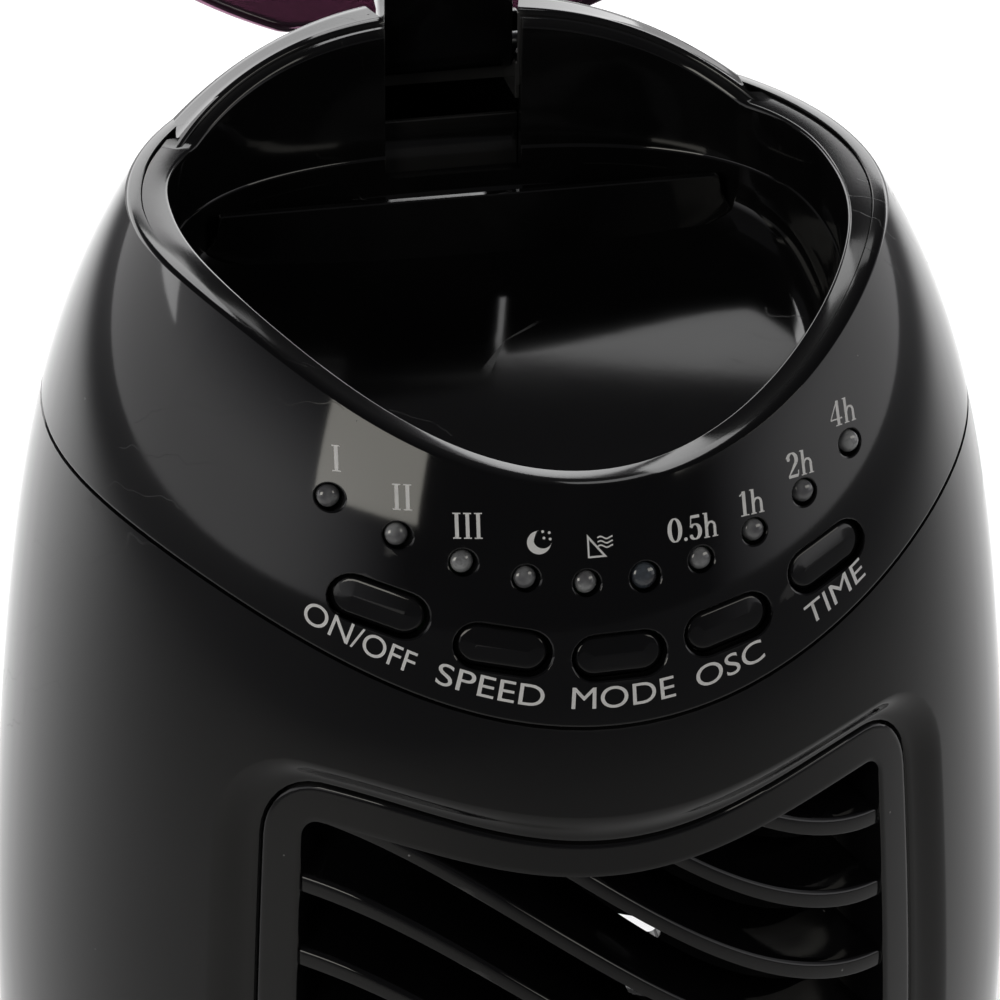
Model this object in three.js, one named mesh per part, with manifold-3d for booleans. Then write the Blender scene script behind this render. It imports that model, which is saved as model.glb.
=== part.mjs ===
// Oscillating tower fan with a storage tray under a hinged dome lid.
// Millimetres and degrees. The origin is the middle of the footprint on the floor,
// +Z points up and the air outlet faces -Y. The lid is modelled standing open.
import * as THREE from 'three';
import Module from 'manifold-3d';
import { mergeVertices } from 'three/addons/utils/BufferGeometryUtils.js';

const wasm = await Module();
wasm.setup();

// ---------------------------------------------------------------- driving dimensions
const GAP = 0.4;                      // clearance between neighbouring pieces
const BASE_RADIUS = 125;
const BODY_MAX_RADIUS = 85;
const BODY_TAPER = 13;                // how much slimmer the body is at its foot
const BODY_BOTTOM = 46;
const WIDEST_HEIGHT = 606;
const HEAD_DATUM = 680;               // head heights below are measured from here
const DIP_POWER = 3.86;               // sharpness of the dip at the front of every seam
const SHELL_WALL = 2.4;
const REAR_SPLIT = 112;               // angle of the side seams from the front
const OUTLET_HALF_ANGLE = 40.3;       // outlet insert
const SLOT_HALF_ANGLE = 35.2;
const RIB_PITCH = 12.6;
const RIB_SWING = 25;                 // half the drop of a rib across the outlet
const RIB_DEPTH = 10;
const LED_PITCH = 8.87;
const BUTTON_PITCH = 17.2;
const BUTTON_LENGTH = 14.5;
const BUTTON_HEIGHT = 7.2;
const BUTTON_TRAVEL = 1;
const PRESS_TILT = 14;                // the panel's press direction above level
const TRAY_WALL = 2.2;
const LID_WALL = 2;
const LID_OPEN = 115;
const HINGE_Y = 48;
const HINGE_Z = HEAD_DATUM + 66;
const HINGE_WIDTH = 21.5;
const IMPELLER_RADIUS = 38;
const SWING = 35;                     // oscillation each way
const CRANK_OFFSET = 26;
const CRANK_RADIUS = CRANK_OFFSET * Math.tan(THREE.MathUtils.degToRad(SWING));

const radians = THREE.MathUtils.degToRad;
const clamp = THREE.MathUtils.clamp;

// ---------------------------------------------------------------- finishes
const finish = (color, roughness, metalness = 0) =>
  new THREE.MeshStandardMaterial({ color, roughness, metalness });
const GLOSS_BLACK = finish(0x0b0b0d, 0.12);
const SATIN_BLACK = finish(0x141416, 0.5);
const PLUM_LID = new THREE.MeshStandardMaterial({
  color: 0x2d1e28, roughness: 0.1, transparent: true, opacity: 0.6,
});
const RUBBER = finish(0x1a1a1a, 0.9);
const STEEL = finish(0x9a9ca0, 0.3, 1);
const CAST_IRON = finish(0x3a3b3d, 0.7, 1);
const BOARD_GREEN = finish(0x1d4a2a, 0.5);
const CLEAR_LENS = finish(0xb9bcc0, 0.15);
const SENSOR_LENS = finish(0x3c4650, 0.15);
const DRUM_GREY = finish(0x303236, 0.5);
const MOTOR_TIN = finish(0xb0b2b4, 0.4, 1);
const COPPER_BRASS = finish(0xb08d4a, 0.35, 1);

// ---------------------------------------------------------------- body form
function bodyRadius(z) {
  const t = (z - WIDEST_HEIGHT) / 100;
  if (t < 0) {
    const down = (WIDEST_HEIGHT - z) / (WIDEST_HEIGHT - BODY_BOTTOM);
    return BODY_MAX_RADIUS - BODY_TAPER * down ** 2;
  }
  return BODY_MAX_RADIUS * (1 - 0.229 * t ** 2 + 0.264 * t ** 3 - 0.158 * t ** 4);
}

// Above CROWN_START the egg closes with a spherical crown.
const CROWN_START = HEAD_DATUM + 78;
const CROWN_RADIUS = 64.6;
const CROWN_CENTRE = CROWN_START - Math.sqrt(CROWN_RADIUS ** 2 - bodyRadius(CROWN_START) ** 2);
const CROWN_TOP = CROWN_CENTRE + CROWN_RADIUS;

const frontDip = (angle) => Math.max(0, Math.cos(angle)) ** DIP_POWER;
const dipped = (height, dip) => (angle) => HEAD_DATUM + height - dip * frontDip(angle);
const seamHeight = dipped(27.7, 19.3);
const rimHeight = dipped(61.9, 17.8);
const ledRow = dipped(49.9, 19.7);
const buttonRow = dipped(38.3, 19.2);
const outletTop = dipped(8.7, 19.5);
const slotTop = dipped(1.2, 19.5);
const OUTLET_BOTTOM = 116;
const SLOT_BOTTOM = OUTLET_BOTTOM + 8;

// Top of the fixed rear crescent, an arch seen from the front.
const archHeight = (x) => HEAD_DATUM + 62 + 12 * (1 - Math.min(1, Math.abs(x / 47)) ** 2.6);

// ---------------------------------------------------------------- mesh and boolean helpers
const range = (from, to, steps) =>
  Array.from({ length: steps + 1 }, (_, i) => from + ((to - from) * i) / steps);

function orientOutward(points, faces) {
  let volume = 0;
  const a = new THREE.Vector3();
  for (const [i, j, k] of faces) {
    volume += a.fromArray(points[i]).dot(
      new THREE.Vector3().fromArray(points[j]).cross(new THREE.Vector3().fromArray(points[k])));
  }
  return volume < 0 ? faces.map(([i, j, k]) => [i, k, j]) : faces;
}

function closedGeometry(points, faces) {
  const geometry = new THREE.BufferGeometry();
  geometry.setAttribute('position', new THREE.Float32BufferAttribute(points.flat(), 3));
  geometry.setIndex(orientOutward(points, faces).flat());
  return geometry;
}

// A closed wall between two surfaces, each a function of a column value and a row value.
function wallBetween(columns, rows, outer, inner, wrap = false) {
  const points = [];
  for (const surface of [outer, inner]) {
    for (const u of columns) for (const v of rows) points.push(surface(u, v));
  }
  const across = rows.length;
  const layer = columns.length * across;
  const at = (side, i, j) => side * layer + (i % columns.length) * across + j;
  const faces = [];
  const quad = (a, b, c, d) => faces.push([a, b, c], [a, c, d]);
  const spans = wrap ? columns.length : columns.length - 1;
  for (let i = 0; i < spans; i += 1) {
    for (let j = 0; j < across - 1; j += 1) {
      quad(at(0, i, j), at(0, i + 1, j), at(0, i + 1, j + 1), at(0, i, j + 1));
      quad(at(1, i, j), at(1, i, j + 1), at(1, i + 1, j + 1), at(1, i + 1, j));
    }
    quad(at(0, i, 0), at(1, i, 0), at(1, i + 1, 0), at(0, i + 1, 0));
    const top = across - 1;
    quad(at(0, i, top), at(0, i + 1, top), at(1, i + 1, top), at(1, i, top));
  }
  if (!wrap) {
    const last = columns.length - 1;
    for (let j = 0; j < across - 1; j += 1) {
      quad(at(0, 0, j), at(0, 0, j + 1), at(1, 0, j + 1), at(1, 0, j));
      quad(at(0, last, j), at(1, last, j), at(1, last, j + 1), at(0, last, j + 1));
    }
  }
  return closedGeometry(points, faces);
}

// Part of the body wall: angles in radians from the front, heights by two curves of the angle.
function bodyPatch({ angles, bottom, top, rows, inset, thickness, wrap = false }) {
  const surface = (depth) => (angle, v) => {
    const z = THREE.MathUtils.lerp(bottom(angle), top(angle), v);
    const radius = bodyRadius(z) - depth;
    return [radius * Math.sin(angle), -radius * Math.cos(angle), z];
  };
  return wallBetween(angles, rows, surface(inset), surface(inset + thickness), wrap);
}

function solid(geometry) {
  const bare = geometry.clone();
  bare.deleteAttribute('normal');
  bare.deleteAttribute('uv');
  const merged = mergeVertices(bare, 1e-4);
  const index = Array.from(merged.index.array);
  const triVerts = [];
  for (let i = 0; i < index.length; i += 3) {
    const [a, b, c] = index.slice(i, i + 3);
    if (a !== b && b !== c && a !== c) triVerts.push(a, b, c);
  }
  return new wasm.Manifold(new wasm.Mesh({
    numProp: 3,
    vertProperties: new Float32Array(merged.attributes.position.array),
    triVerts: new Uint32Array(triVerts),
  }));
}

function geometryOf(body) {
  const mesh = body.getMesh();
  const geometry = new THREE.BufferGeometry();
  geometry.setAttribute('position', new THREE.BufferAttribute(mesh.vertProperties, 3));
  geometry.setIndex(new THREE.BufferAttribute(mesh.triVerts, 1));
  return geometry;
}

const cut = (geometry, ...tools) =>
  geometryOf(tools.reduce((body, tool) => body.subtract(solid(tool)), solid(geometry)));
const join = (...geometries) =>
  geometryOf(geometries.slice(1).reduce((body, g) => body.add(solid(g)), solid(geometries[0])));
const common = (a, b) => geometryOf(solid(a).intersect(solid(b)));

// The largest separate piece of a solid: drops slivers that a cut leaves loose.
const biggest = (body) => body.decompose().sort((a, b) => b.volume() - a.volume())[0];

function box(sizeX, sizeY, sizeZ, x, y, z) {
  return new THREE.BoxGeometry(sizeX, sizeY, sizeZ).translate(x, y, z);
}

// Upright cylinder standing on height z.
function post(radius, height, x, y, z, sides = 24) {
  return new THREE.CylinderGeometry(radius, radius, height, sides)
    .rotateX(Math.PI / 2).translate(x, y, z + height / 2);
}

// Solid of revolution about +Z from [radius, height] points on a closed outline.
function turned(outline, sides = 32) {
  const points = [...outline, outline[0]].map(([r, z]) => new THREE.Vector2(r, z));
  return new THREE.LatheGeometry(points, sides).rotateX(Math.PI / 2);
}

const ring = (outer, inner, bottom, top, sides = 32) =>
  turned([[inner, bottom], [outer, bottom], [outer, top], [inner, top]], sides);

// Flat outline in the XY plane given thickness along +Z.
function plate(outline, height, curveSegments = 8) {
  return new THREE.ExtrudeGeometry(outline, { depth: height, bevelEnabled: false, curveSegments });
}

function stadium(length, height) {
  const half = (length - height) / 2;
  const shape = new THREE.Shape();
  shape.absarc(half, 0, height / 2, -Math.PI / 2, Math.PI / 2);
  shape.absarc(-half, 0, height / 2, Math.PI / 2, Math.PI * 1.5);
  return shape;
}

// Outline in the Y-Z plane given thickness along X, centred on X = 0.
function sidePlate(points, width) {
  const shape = new THREE.Shape(points.map(([y, z]) => new THREE.Vector2(y, z)));
  return plate(shape, width).rotateX(Math.PI / 2).rotateZ(Math.PI / 2).translate(-width / 2, 0, 0);
}

const fan = new THREE.Group();

function add(name, geometry, material) {
  const mesh = new THREE.Mesh(geometry, material);
  mesh.name = name;
  fan.add(mesh);
  return mesh;
}

// ---------------------------------------------------------------- base
const FOOT_HEIGHT = 3;
const PLATE_TOP = FOOT_HEIGHT + GAP + 3;
const SKIRT_TOP = 19;
const BASE_TOP = 34;
const NECK_RADIUS = 60;
const CORD_HEIGHT = 13.1;             // centre of the cord's hole in the cover

function buildBase() {
  const screwPlaces = [45, 135, 225, 315].map(radians);
  const screwRing = 104;
  const underside = turned([
    [0, FOOT_HEIGHT + GAP], [BASE_RADIUS - 3, FOOT_HEIGHT + GAP], [BASE_RADIUS - 3, PLATE_TOP],
    [0, PLATE_TOP]]);
  const screwHoles = screwPlaces.map((a) =>
    post(2.4, 8, screwRing * Math.cos(a), screwRing * Math.sin(a), FOOT_HEIGHT - 1, 12));
  add('base_plate', cut(underside, ...screwHoles), SATIN_BLACK);
  screwPlaces.forEach((a, i) => {
    const screw = turned([
      [0, 1.2], [3.8, 1.2], [3.8, 3], [1.7, 3], [1.7, 15], [0, 15]], 8);
    add(`base_screw_${i + 1}`, screw.translate(screwRing * Math.cos(a), screwRing * Math.sin(a), 0),
      STEEL);
  });
  [0, 90, 180, 270].map(radians).forEach((a, i) => {
    const pad = turned([[0, 0], [8, 0], [9, 0.8], [9, FOOT_HEIGHT], [0, FOOT_HEIGHT]], 12);
    add(`rubber_foot_${i + 1}`, pad.translate(100 * Math.sin(a), -100 * Math.cos(a), 0), RUBBER);
  });

  const coverWall = 2.6;
  const outside = range(0, 1, 5).map((t) => {
    const swell = Math.sin((t * Math.PI) / 2);
    return [BASE_RADIUS - (BASE_RADIUS - NECK_RADIUS - 6) * (1 - Math.cos((t * Math.PI) / 2)),
      SKIRT_TOP + (BASE_TOP - SKIRT_TOP) * swell];
  });
  const inside = outside.map(([r, z]) => [r - coverWall * 0.7, z - coverWall]).reverse();
  const coverOutline = [
    [BASE_RADIUS, PLATE_TOP - 3], ...outside, [NECK_RADIUS, BASE_TOP],
    [NECK_RADIUS, BASE_TOP - coverWall], ...inside, [BASE_RADIUS - coverWall, PLATE_TOP - 3]];
  const grommetHole = new THREE.CylinderGeometry(5, 5, 14, 12).translate(0, BASE_RADIUS - 2, CORD_HEIGHT);
  const bosses = screwPlaces.map((a) => ring(5, 2.2, PLATE_TOP + GAP, 29, 8)
    .translate(screwRing * Math.cos(a), screwRing * Math.sin(a), 0));
  add('base_cover', cut(join(turned(coverOutline), ...bosses), grommetHole), GLOSS_BLACK);
  const grommet = new THREE.LatheGeometry([
    [3, -7], [6.5, -7], [6.5, -3.8], [4.6, -3.8], [4.6, -0.1], [3, -0.1], [3, -7],
  ].map(([r, y]) => new THREE.Vector2(r, y)), 12);
  add('cord_grommet', grommet.translate(0, BASE_RADIUS, CORD_HEIGHT), RUBBER);
  add('base_ballast', ring(96, 62, PLATE_TOP + GAP, 15), CAST_IRON);

  const postFlange = turned([
    [9, PLATE_TOP + GAP], [19, PLATE_TOP + GAP], [19, 10], [13.5, 10], [13.5, 42], [9, 42]], 20);
  add('pivot_post', postFlange, SATIN_BLACK);
  const bearing = ring(54, 49, 24, 29.5, 28);
  const legs = [40, 140, 220, 320].map(radians).map((a) =>
    box(7, 7, 24.5 - PLATE_TOP, 51.5 * Math.sin(a), -51.5 * Math.cos(a), (24.5 + PLATE_TOP) / 2 + GAP));
  add('turntable_ring', join(bearing, ...legs), SATIN_BLACK);
}

// ---------------------------------------------------------------- oscillation drive
// A crank pin works in a radial slot of the turning plate. The crank sits behind the pivot.
const CRANK_PIN_RADIUS = 2.5;
const SLOT_CLEARANCE = 1.3;

function buildSwingDrive() {
  const centreY = CRANK_OFFSET;
  const bottom = PLATE_TOP + GAP;
  const can = cut(
    turned([[0, bottom], [19, bottom], [19, 19], [0, 19]], 28).translate(0, centreY + 15, 0),
    post(25, 30, 0, 0, 2, 32));
  add('swing_motor', join(can, post(12, 12.6, 0, centreY + 6, bottom, 20)), MOTOR_TIN);
  const web = new THREE.Shape();
  web.absarc(0, 0, 6, Math.PI, Math.PI * 2);
  web.absarc(0, CRANK_RADIUS, 5, 0, Math.PI);
  const arm = plate(web, 2.6).translate(0, centreY, 19.9);
  const pin = post(CRANK_PIN_RADIUS, 15, 0, centreY + CRANK_RADIUS, 20, 16);
  add('swing_crank', join(arm, pin), SATIN_BLACK);
}

// ---------------------------------------------------------------- turning body, lower part
const PLATE_LEVEL = 30.2;

function buildTurntable() {
  const slotStart = CRANK_OFFSET - CRANK_RADIUS + 12;
  const slotEnd = CRANK_OFFSET + CRANK_RADIUS + CRANK_PIN_RADIUS + 1.5;
  const disc = turned([
    [14, PLATE_LEVEL], [55, PLATE_LEVEL], [55, PLATE_LEVEL + 3], [50, PLATE_LEVEL + 3],
    [50, BODY_BOTTOM - GAP], [46, BODY_BOTTOM - GAP], [46, PLATE_LEVEL + 3], [14, PLATE_LEVEL + 3]]);
  const length = slotEnd - slotStart;
  const slotWidth = 2 * (CRANK_PIN_RADIUS + SLOT_CLEARANCE);
  const slot = box(slotWidth, length, 12, 0, slotStart + length / 2, PLATE_LEVEL);
  add('turntable', cut(disc, slot), SATIN_BLACK);

  const footRadius = bodyRadius(BODY_BOTTOM) - SHELL_WALL - GAP;
  const floor = turned([
    [14, BODY_BOTTOM], [footRadius, BODY_BOTTOM], [footRadius, BODY_BOTTOM + 9],
    [footRadius - 2.4, BODY_BOTTOM + 9], [footRadius - 2.4, BODY_BOTTOM + 3], [14, BODY_BOTTOM + 3]]);
  add('body_floor', floor, SATIN_BLACK);
}

// ---------------------------------------------------------------- shells
const ROWS = [0, 0.25, 0.5, 0.7, 0.83, 0.91, 0.96, 1];

// Soft corners for an opening on the body: trims the top and lifts the bottom near its sides.
function roundedOpening(halfAngle, corner, top, bottomHeight) {
  const halfWidth = BODY_MAX_RADIUS * halfAngle;
  const drop = (angle) => {
    const past = Math.abs(angle) * BODY_MAX_RADIUS - (halfWidth - corner);
    return past <= 0 ? 0 : corner - Math.sqrt(Math.max(0, corner ** 2 - past ** 2));
  };
  return {
    angles: [...new Set([
      -halfAngle, -halfAngle * 0.985, -halfAngle * 0.94, ...range(-halfAngle * 0.87, halfAngle * 0.87, 8),
      halfAngle * 0.94, halfAngle * 0.985, halfAngle])],
    top: (angle) => top(angle) - drop(angle),
    bottom: (angle) => bottomHeight + drop(angle),
  };
}

const OPENING_ROWS = [0, 0.5, 0.8, 0.93, 1];
const outlet = roundedOpening(radians(OUTLET_HALF_ANGLE), 7, outletTop, OUTLET_BOTTOM);
const slots = roundedOpening(radians(SLOT_HALF_ANGLE), 3, slotTop, SLOT_BOTTOM);

function openingTool(opening, inset, thickness, grow = 0) {
  const widen = (opening.angles.at(-1) + grow / BODY_MAX_RADIUS) / opening.angles.at(-1);
  return bodyPatch({
    angles: opening.angles.map((a) => a * widen),
    bottom: (a) => opening.bottom(a / widen) - grow,
    top: (a) => opening.top(a / widen) + grow,
    rows: OPENING_ROWS,
    inset,
    thickness,
  });
}

function buildShells() {
  const split = radians(REAR_SPLIT);
  const seamGap = GAP / 2 / BODY_MAX_RADIUS;
  const front = bodyPatch({
    angles: range(-split + seamGap, split - seamGap, 22),
    bottom: () => BODY_BOTTOM,
    top: (a) => seamHeight(a) - GAP,
    rows: ROWS,
    inset: 0,
    thickness: SHELL_WALL,
  });
  add('front_shell', cut(front, openingTool(outlet, -6, 14, GAP)), GLOSS_BLACK);

  const rear = bodyPatch({
    angles: range(split + seamGap, 2 * Math.PI - split - seamGap, 14),
    bottom: () => BODY_BOTTOM,
    top: (a) => seamHeight(a) - GAP,
    rows: ROWS,
    inset: 0,
    thickness: SHELL_WALL,
  });
  const intakes = [];
  const rowsOfSlots = 12;
  for (let row = 0; row < rowsOfSlots; row += 1) {
    for (const side of [-1, 1]) {
      intakes.push(box(40, 60, 8, side * 24, 70, 180 + row * 32));
    }
  }
  add('rear_shell', cut(rear, ...intakes), GLOSS_BLACK);
}

// One rib of the outlet: a thick slat that climbs inwards and waves down across the outlet.
function slat(level) {
  const half = radians(SLOT_HALF_ANGLE) + 1.2 / BODY_MAX_RADIUS;
  const wave = (angle) => level - RIB_SWING * Math.sin(2.37 * angle);
  const corner = (depth, lift) => (angle) => {
    const z = wave(angle) + lift;
    const radius = bodyRadius(Math.min(z, HEAD_DATUM + 5)) - depth;
    return [radius * Math.sin(angle), -radius * Math.cos(angle), z];
  };
  const lowerFront = corner(3, -1.5);
  const upperFront = corner(3, 1.5);
  const upperBack = corner(3 + RIB_DEPTH, 6.5);
  const lowerBack = corner(3 + RIB_DEPTH, 4.9);
  return wallBetween(range(-half, half, 4), [0, 1],
    (a, v) => (v === 0 ? lowerFront(a) : upperFront(a)),
    (a, v) => (v === 0 ? lowerBack(a) : upperBack(a)));
}

function buildOutlet() {
  const frameFace = openingTool(outlet, 2.2, 2.6, -GAP);
  const frameWall = openingTool(slots, 4, RIB_DEPTH + 1, 2.2);
  const window = openingTool(slots, -2, 30);
  const frame = solid(frameFace).add(solid(frameWall)).subtract(solid(window));
  const reach = solid(openingTool(slots, 2.6, RIB_DEPTH + 1.6, 1));
  const ribs = [];
  for (let level = SLOT_BOTTOM - RIB_SWING; level < HEAD_DATUM + RIB_SWING; level += RIB_PITCH) {
    const rib = solid(slat(level));
    const isWhole = level - RIB_SWING > SLOT_BOTTOM + 4 && level + RIB_SWING < slotTop(0) - 8;
    ribs.push(isWhole ? rib : rib.intersect(reach));
  }
  const insert = ribs.reduce((body, rib) => body.add(rib), frame);
  add('outlet_grille', geometryOf(biggest(insert)), GLOSS_BLACK);
}

// ---------------------------------------------------------------- head
const PRESS = new THREE.Vector3(0, -Math.cos(radians(PRESS_TILT)), Math.sin(radians(PRESS_TILT)));
const PANEL_UP = new THREE.Vector3(0, Math.sin(radians(PRESS_TILT)), Math.cos(radians(PRESS_TILT)));

// Turns geometry built flat on XY (depth along +Z) into the panel's press direction.
function facePanel(geometry, spin, place) {
  const basis = new THREE.Matrix4().makeBasis(new THREE.Vector3(1, 0, 0), PANEL_UP, PRESS);
  geometry.rotateZ(spin).applyMatrix4(basis);
  return geometry.translate(place.x, place.y, place.z);
}

// The point of the body surface at sideways distance x on one of the head's rows.
function onRow(row, x) {
  let angle = 0;
  for (let i = 0; i < 20; i += 1) angle = Math.asin(x / bodyRadius(row(angle)));
  const z = row(angle);
  return new THREE.Vector3(x, -bodyRadius(z) * Math.cos(angle), z);
}

function rowSlope(row, x) {
  return Math.atan2(onRow(row, x + 1).z - onRow(row, x - 1).z, 2);
}

const ledPlaces = range(0, 9, 9).map((i) => onRow(ledRow, 0.45 + LED_PITCH * (i - 4.5)));
const SENSOR_INDEX = 5;
const buttonXs = range(-2, 2, 4).map((i) => 0.6 + BUTTON_PITCH * i);
const buttonPlaces = buttonXs.map((x) => onRow(buttonRow, x));
const buttonSpins = buttonXs.map((x) => rowSlope(buttonRow, x));

// Everything inside the egg surface, shrunk by a depth, between two heights.
function eggSolid(depth, from, to, sides = 42) {
  const heights = range(from, Math.min(to, CROWN_START), 5);
  const outline = [[0, from], ...heights.map((z) => [bodyRadius(z) - depth, z])];
  const crownRadius = CROWN_RADIUS - depth;
  if (to > CROWN_START) {
    const startAngle = Math.asin(clamp((bodyRadius(CROWN_START) - depth) / crownRadius, 0, 1));
    for (const a of range(startAngle, 0, 4).slice(1)) {
      outline.push([crownRadius * Math.sin(a), CROWN_CENTRE + crownRadius * Math.cos(a)]);
    }
  } else {
    outline.push([0, to]);
  }
  return new THREE.LatheGeometry(outline.map(([r, z]) => new THREE.Vector2(Math.max(r, 0), z)), sides)
    .rotateX(Math.PI / 2);
}

function buildHeadShell() {
  const shell = bodyPatch({
    angles: range(0, 2 * Math.PI, 42).slice(0, -1),
    bottom: seamHeight,
    top: rimHeight,
    rows: [0, 0.5, 1],
    inset: 0,
    thickness: SHELL_WALL,
    wrap: true,
  });
  const tools = ledPlaces.map((place, i) => {
    const radius = i === SENSOR_INDEX ? 2.4 : 2.1;
    const drill = new THREE.CylinderGeometry(radius, radius, 16, 8).rotateX(Math.PI / 2);
    return facePanel(drill, 0, place);
  });
  buttonPlaces.forEach((place, i) => {
    const punch = plate(stadium(BUTTON_LENGTH, BUTTON_HEIGHT), 16, 3).translate(0, 0, -8);
    tools.push(facePanel(punch, buttonSpins[i], place));
  });
  add('head_shell', cut(shell, ...tools), GLOSS_BLACK);
}

// Plan outline of the tray's upright wall: a flattened oval that is blunt at the back.
const WALL_BACK = 42;
const WALL_SIDE = 54.5;
const WALL_FRONT = 64.2;
function trayPlan(angle) {
  const s = Math.sin(angle);
  const c = -Math.cos(angle);
  if (c > 0) {
    const bluntness = 2.5;
    return 1 / ((Math.abs(s) / WALL_SIDE) ** bluntness + (c / WALL_BACK) ** bluntness) ** (1 / bluntness);
  }
  return 1 / Math.sqrt((s / WALL_SIDE) ** 2 + (c / WALL_FRONT) ** 2);
}

const DIVIDER_Y = 25;
const DIVIDER_TOP = HEAD_DATUM + 48.8;
const POCKET_FLOOR = HEAD_DATUM + 20;
const POCKET_BACK = 38.4;

function scoopFloor(y) {
  const t = clamp((y + 24) / 80, 0, 1);
  return HEAD_DATUM + 31 + 14 * t ** 1.2;
}

function trayTopEdge(angle) {
  const radius = trayPlan(angle);
  const back = archHeight(radius * Math.sin(angle)) - 0.6;
  return -Math.cos(angle) > 0.35 ? Math.max(rimHeight(angle) - 0.8, back - 2) : rimHeight(angle) - 0.8;
}

function trayInside(angle, v) {
  const edge = trayPlan(angle) - TRAY_WALL;
  const facesFront = clamp(Math.cos(angle), 0, 1);
  const steepness = THREE.MathUtils.lerp(22, 3, facesFront ** 1.5);
  const radius = edge * v;
  const y = -radius * Math.cos(angle);
  const floor = scoopFloor(y);
  return [radius * Math.sin(angle), y, floor + (trayTopEdge(angle) - floor) * v ** steepness];
}

function trayOutside(angle, v) {
  const [x, y, z] = trayInside(angle, v);
  const wide = (trayPlan(angle)) / (trayPlan(angle) - TRAY_WALL);
  const drop = THREE.MathUtils.lerp(TRAY_WALL, 0, clamp((v - 0.9) / 0.1, 0, 1));
  return [x * wide, y * wide, z - drop];
}

// The tray's plan outline, drawn in by an inset and made a tall solid.
function planPrism(inset) {
  const outline = range(0, 2 * Math.PI, 36).slice(0, -1).map((a) => {
    const r = trayPlan(a) - inset;
    return new THREE.Vector2(r * Math.sin(a), -r * Math.cos(a));
  });
  return solid(plate(new THREE.Shape(outline), 60).translate(0, 0, HEAD_DATUM + 10));
}

function buildTray() {
  const angles = range(0, 2 * Math.PI, 36).slice(0, -1);
  const rows = [0.001, 0.5, 0.78, 0.9, 0.96, 1];
  const ringOnly = solid(wallBetween(angles, rows, trayInside, trayOutside, true));
  const plug = solid(turned([[0, scoopFloor(0) - 2], [1.2, scoopFloor(0) - 2], [1.2, scoopFloor(0)],
    [0, scoopFloor(0)]], 8));
  const bar = solid(box(110, 1.6, DIVIDER_TOP - POCKET_FLOOR, 0, DIVIDER_Y + 0.8,
    (DIVIDER_TOP + POCKET_FLOOR) / 2)).intersect(planPrism(1));
  const pocketDepth = POCKET_BACK - DIVIDER_Y;
  const pocketMiddle = (POCKET_BACK + DIVIDER_Y) / 2;
  const pocketOutside = solid(box(84, pocketDepth + 3.2, 26, 0, pocketMiddle, POCKET_FLOOR + 11))
    .intersect(planPrism(0.2));
  const pocketInside = solid(box(80, pocketDepth - 1.6, 60, 0, pocketMiddle + 0.8, POCKET_FLOOR + 30))
    .intersect(planPrism(TRAY_WALL));
  const well = solid(box(HINGE_WIDTH + 1.4, 14, 40, 0, WALL_BACK, HEAD_DATUM + 64));
  const tray = ringOnly.add(plug).add(bar).add(pocketOutside).subtract(pocketInside).subtract(well);
  add('storage_tray', geometryOf(biggest(tray)), GLOSS_BLACK);
}

// The fixed crescent at the back that carries the hinge.
function buildRearCrescent() {
  const bottom = HEAD_DATUM + 62 + GAP;
  const egg = solid(eggSolid(0, bottom, HEAD_DATUM + 76));
  const arch = range(-47.5, 47.5, 12).map((x) => new THREE.Vector2(x, archHeight(x)));
  const archShape = new THREE.Shape([
    new THREE.Vector2(-47.5, bottom - 1), ...arch, new THREE.Vector2(47.5, bottom - 1)]);
  const underArch = solid(plate(archShape, 60).rotateX(Math.PI / 2).translate(0, 68, 0));
  const notch = solid(box(HINGE_WIDTH + 1.4, 40, 40, 0, 55, HEAD_DATUM + 78));
  const crescent = egg.subtract(planPrism(-GAP).translate([0, 0, 40])).intersect(underArch).subtract(notch);
  return crescent;
}

function buildHead() {
  buildHeadShell();
  buildTray();
  const crescent = buildRearCrescent();
  const bridge = solid(box(HINGE_WIDTH + 8, 2.4, 3.6, 0, 53.6, HEAD_DATUM + 59));
  const lugs = [-1, 1].map((side) => solid(box(3, 2.4, 8, side * (HINGE_WIDTH / 2 + 2.6), 53.6,
    HEAD_DATUM + 61.5)));
  const pinHole = solid(new THREE.CylinderGeometry(1.7, 1.7, 60, 14).rotateZ(Math.PI / 2)
    .translate(0, HINGE_Y, HINGE_Z));
  const whole = crescent.add(bridge).add(lugs[0]).add(lugs[1]).subtract(pinHole);
  add('rear_crescent', geometryOf(biggest(whole)), GLOSS_BLACK);
}

// ---------------------------------------------------------------- lid
const LID_LINE_BACK = 44;             // the lid's rear edge stops short of the hinge
const LID_GAP = 1.2;                  // clearance between the closed lid and the rim

function aboutHinge(y, z) {
  const a = -radians(LID_OPEN);
  const dy = y - HINGE_Y;
  const dz = z - HINGE_Z;
  return [HINGE_Y + dy * Math.cos(a) - dz * Math.sin(a), HINGE_Z + dy * Math.sin(a) + dz * Math.cos(a)];
}

function swingOpen(geometry) {
  return geometry.translate(0, -HINGE_Y, -HINGE_Z).rotateX(-radians(LID_OPEN))
    .translate(0, HINGE_Y, HINGE_Z);
}

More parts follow.
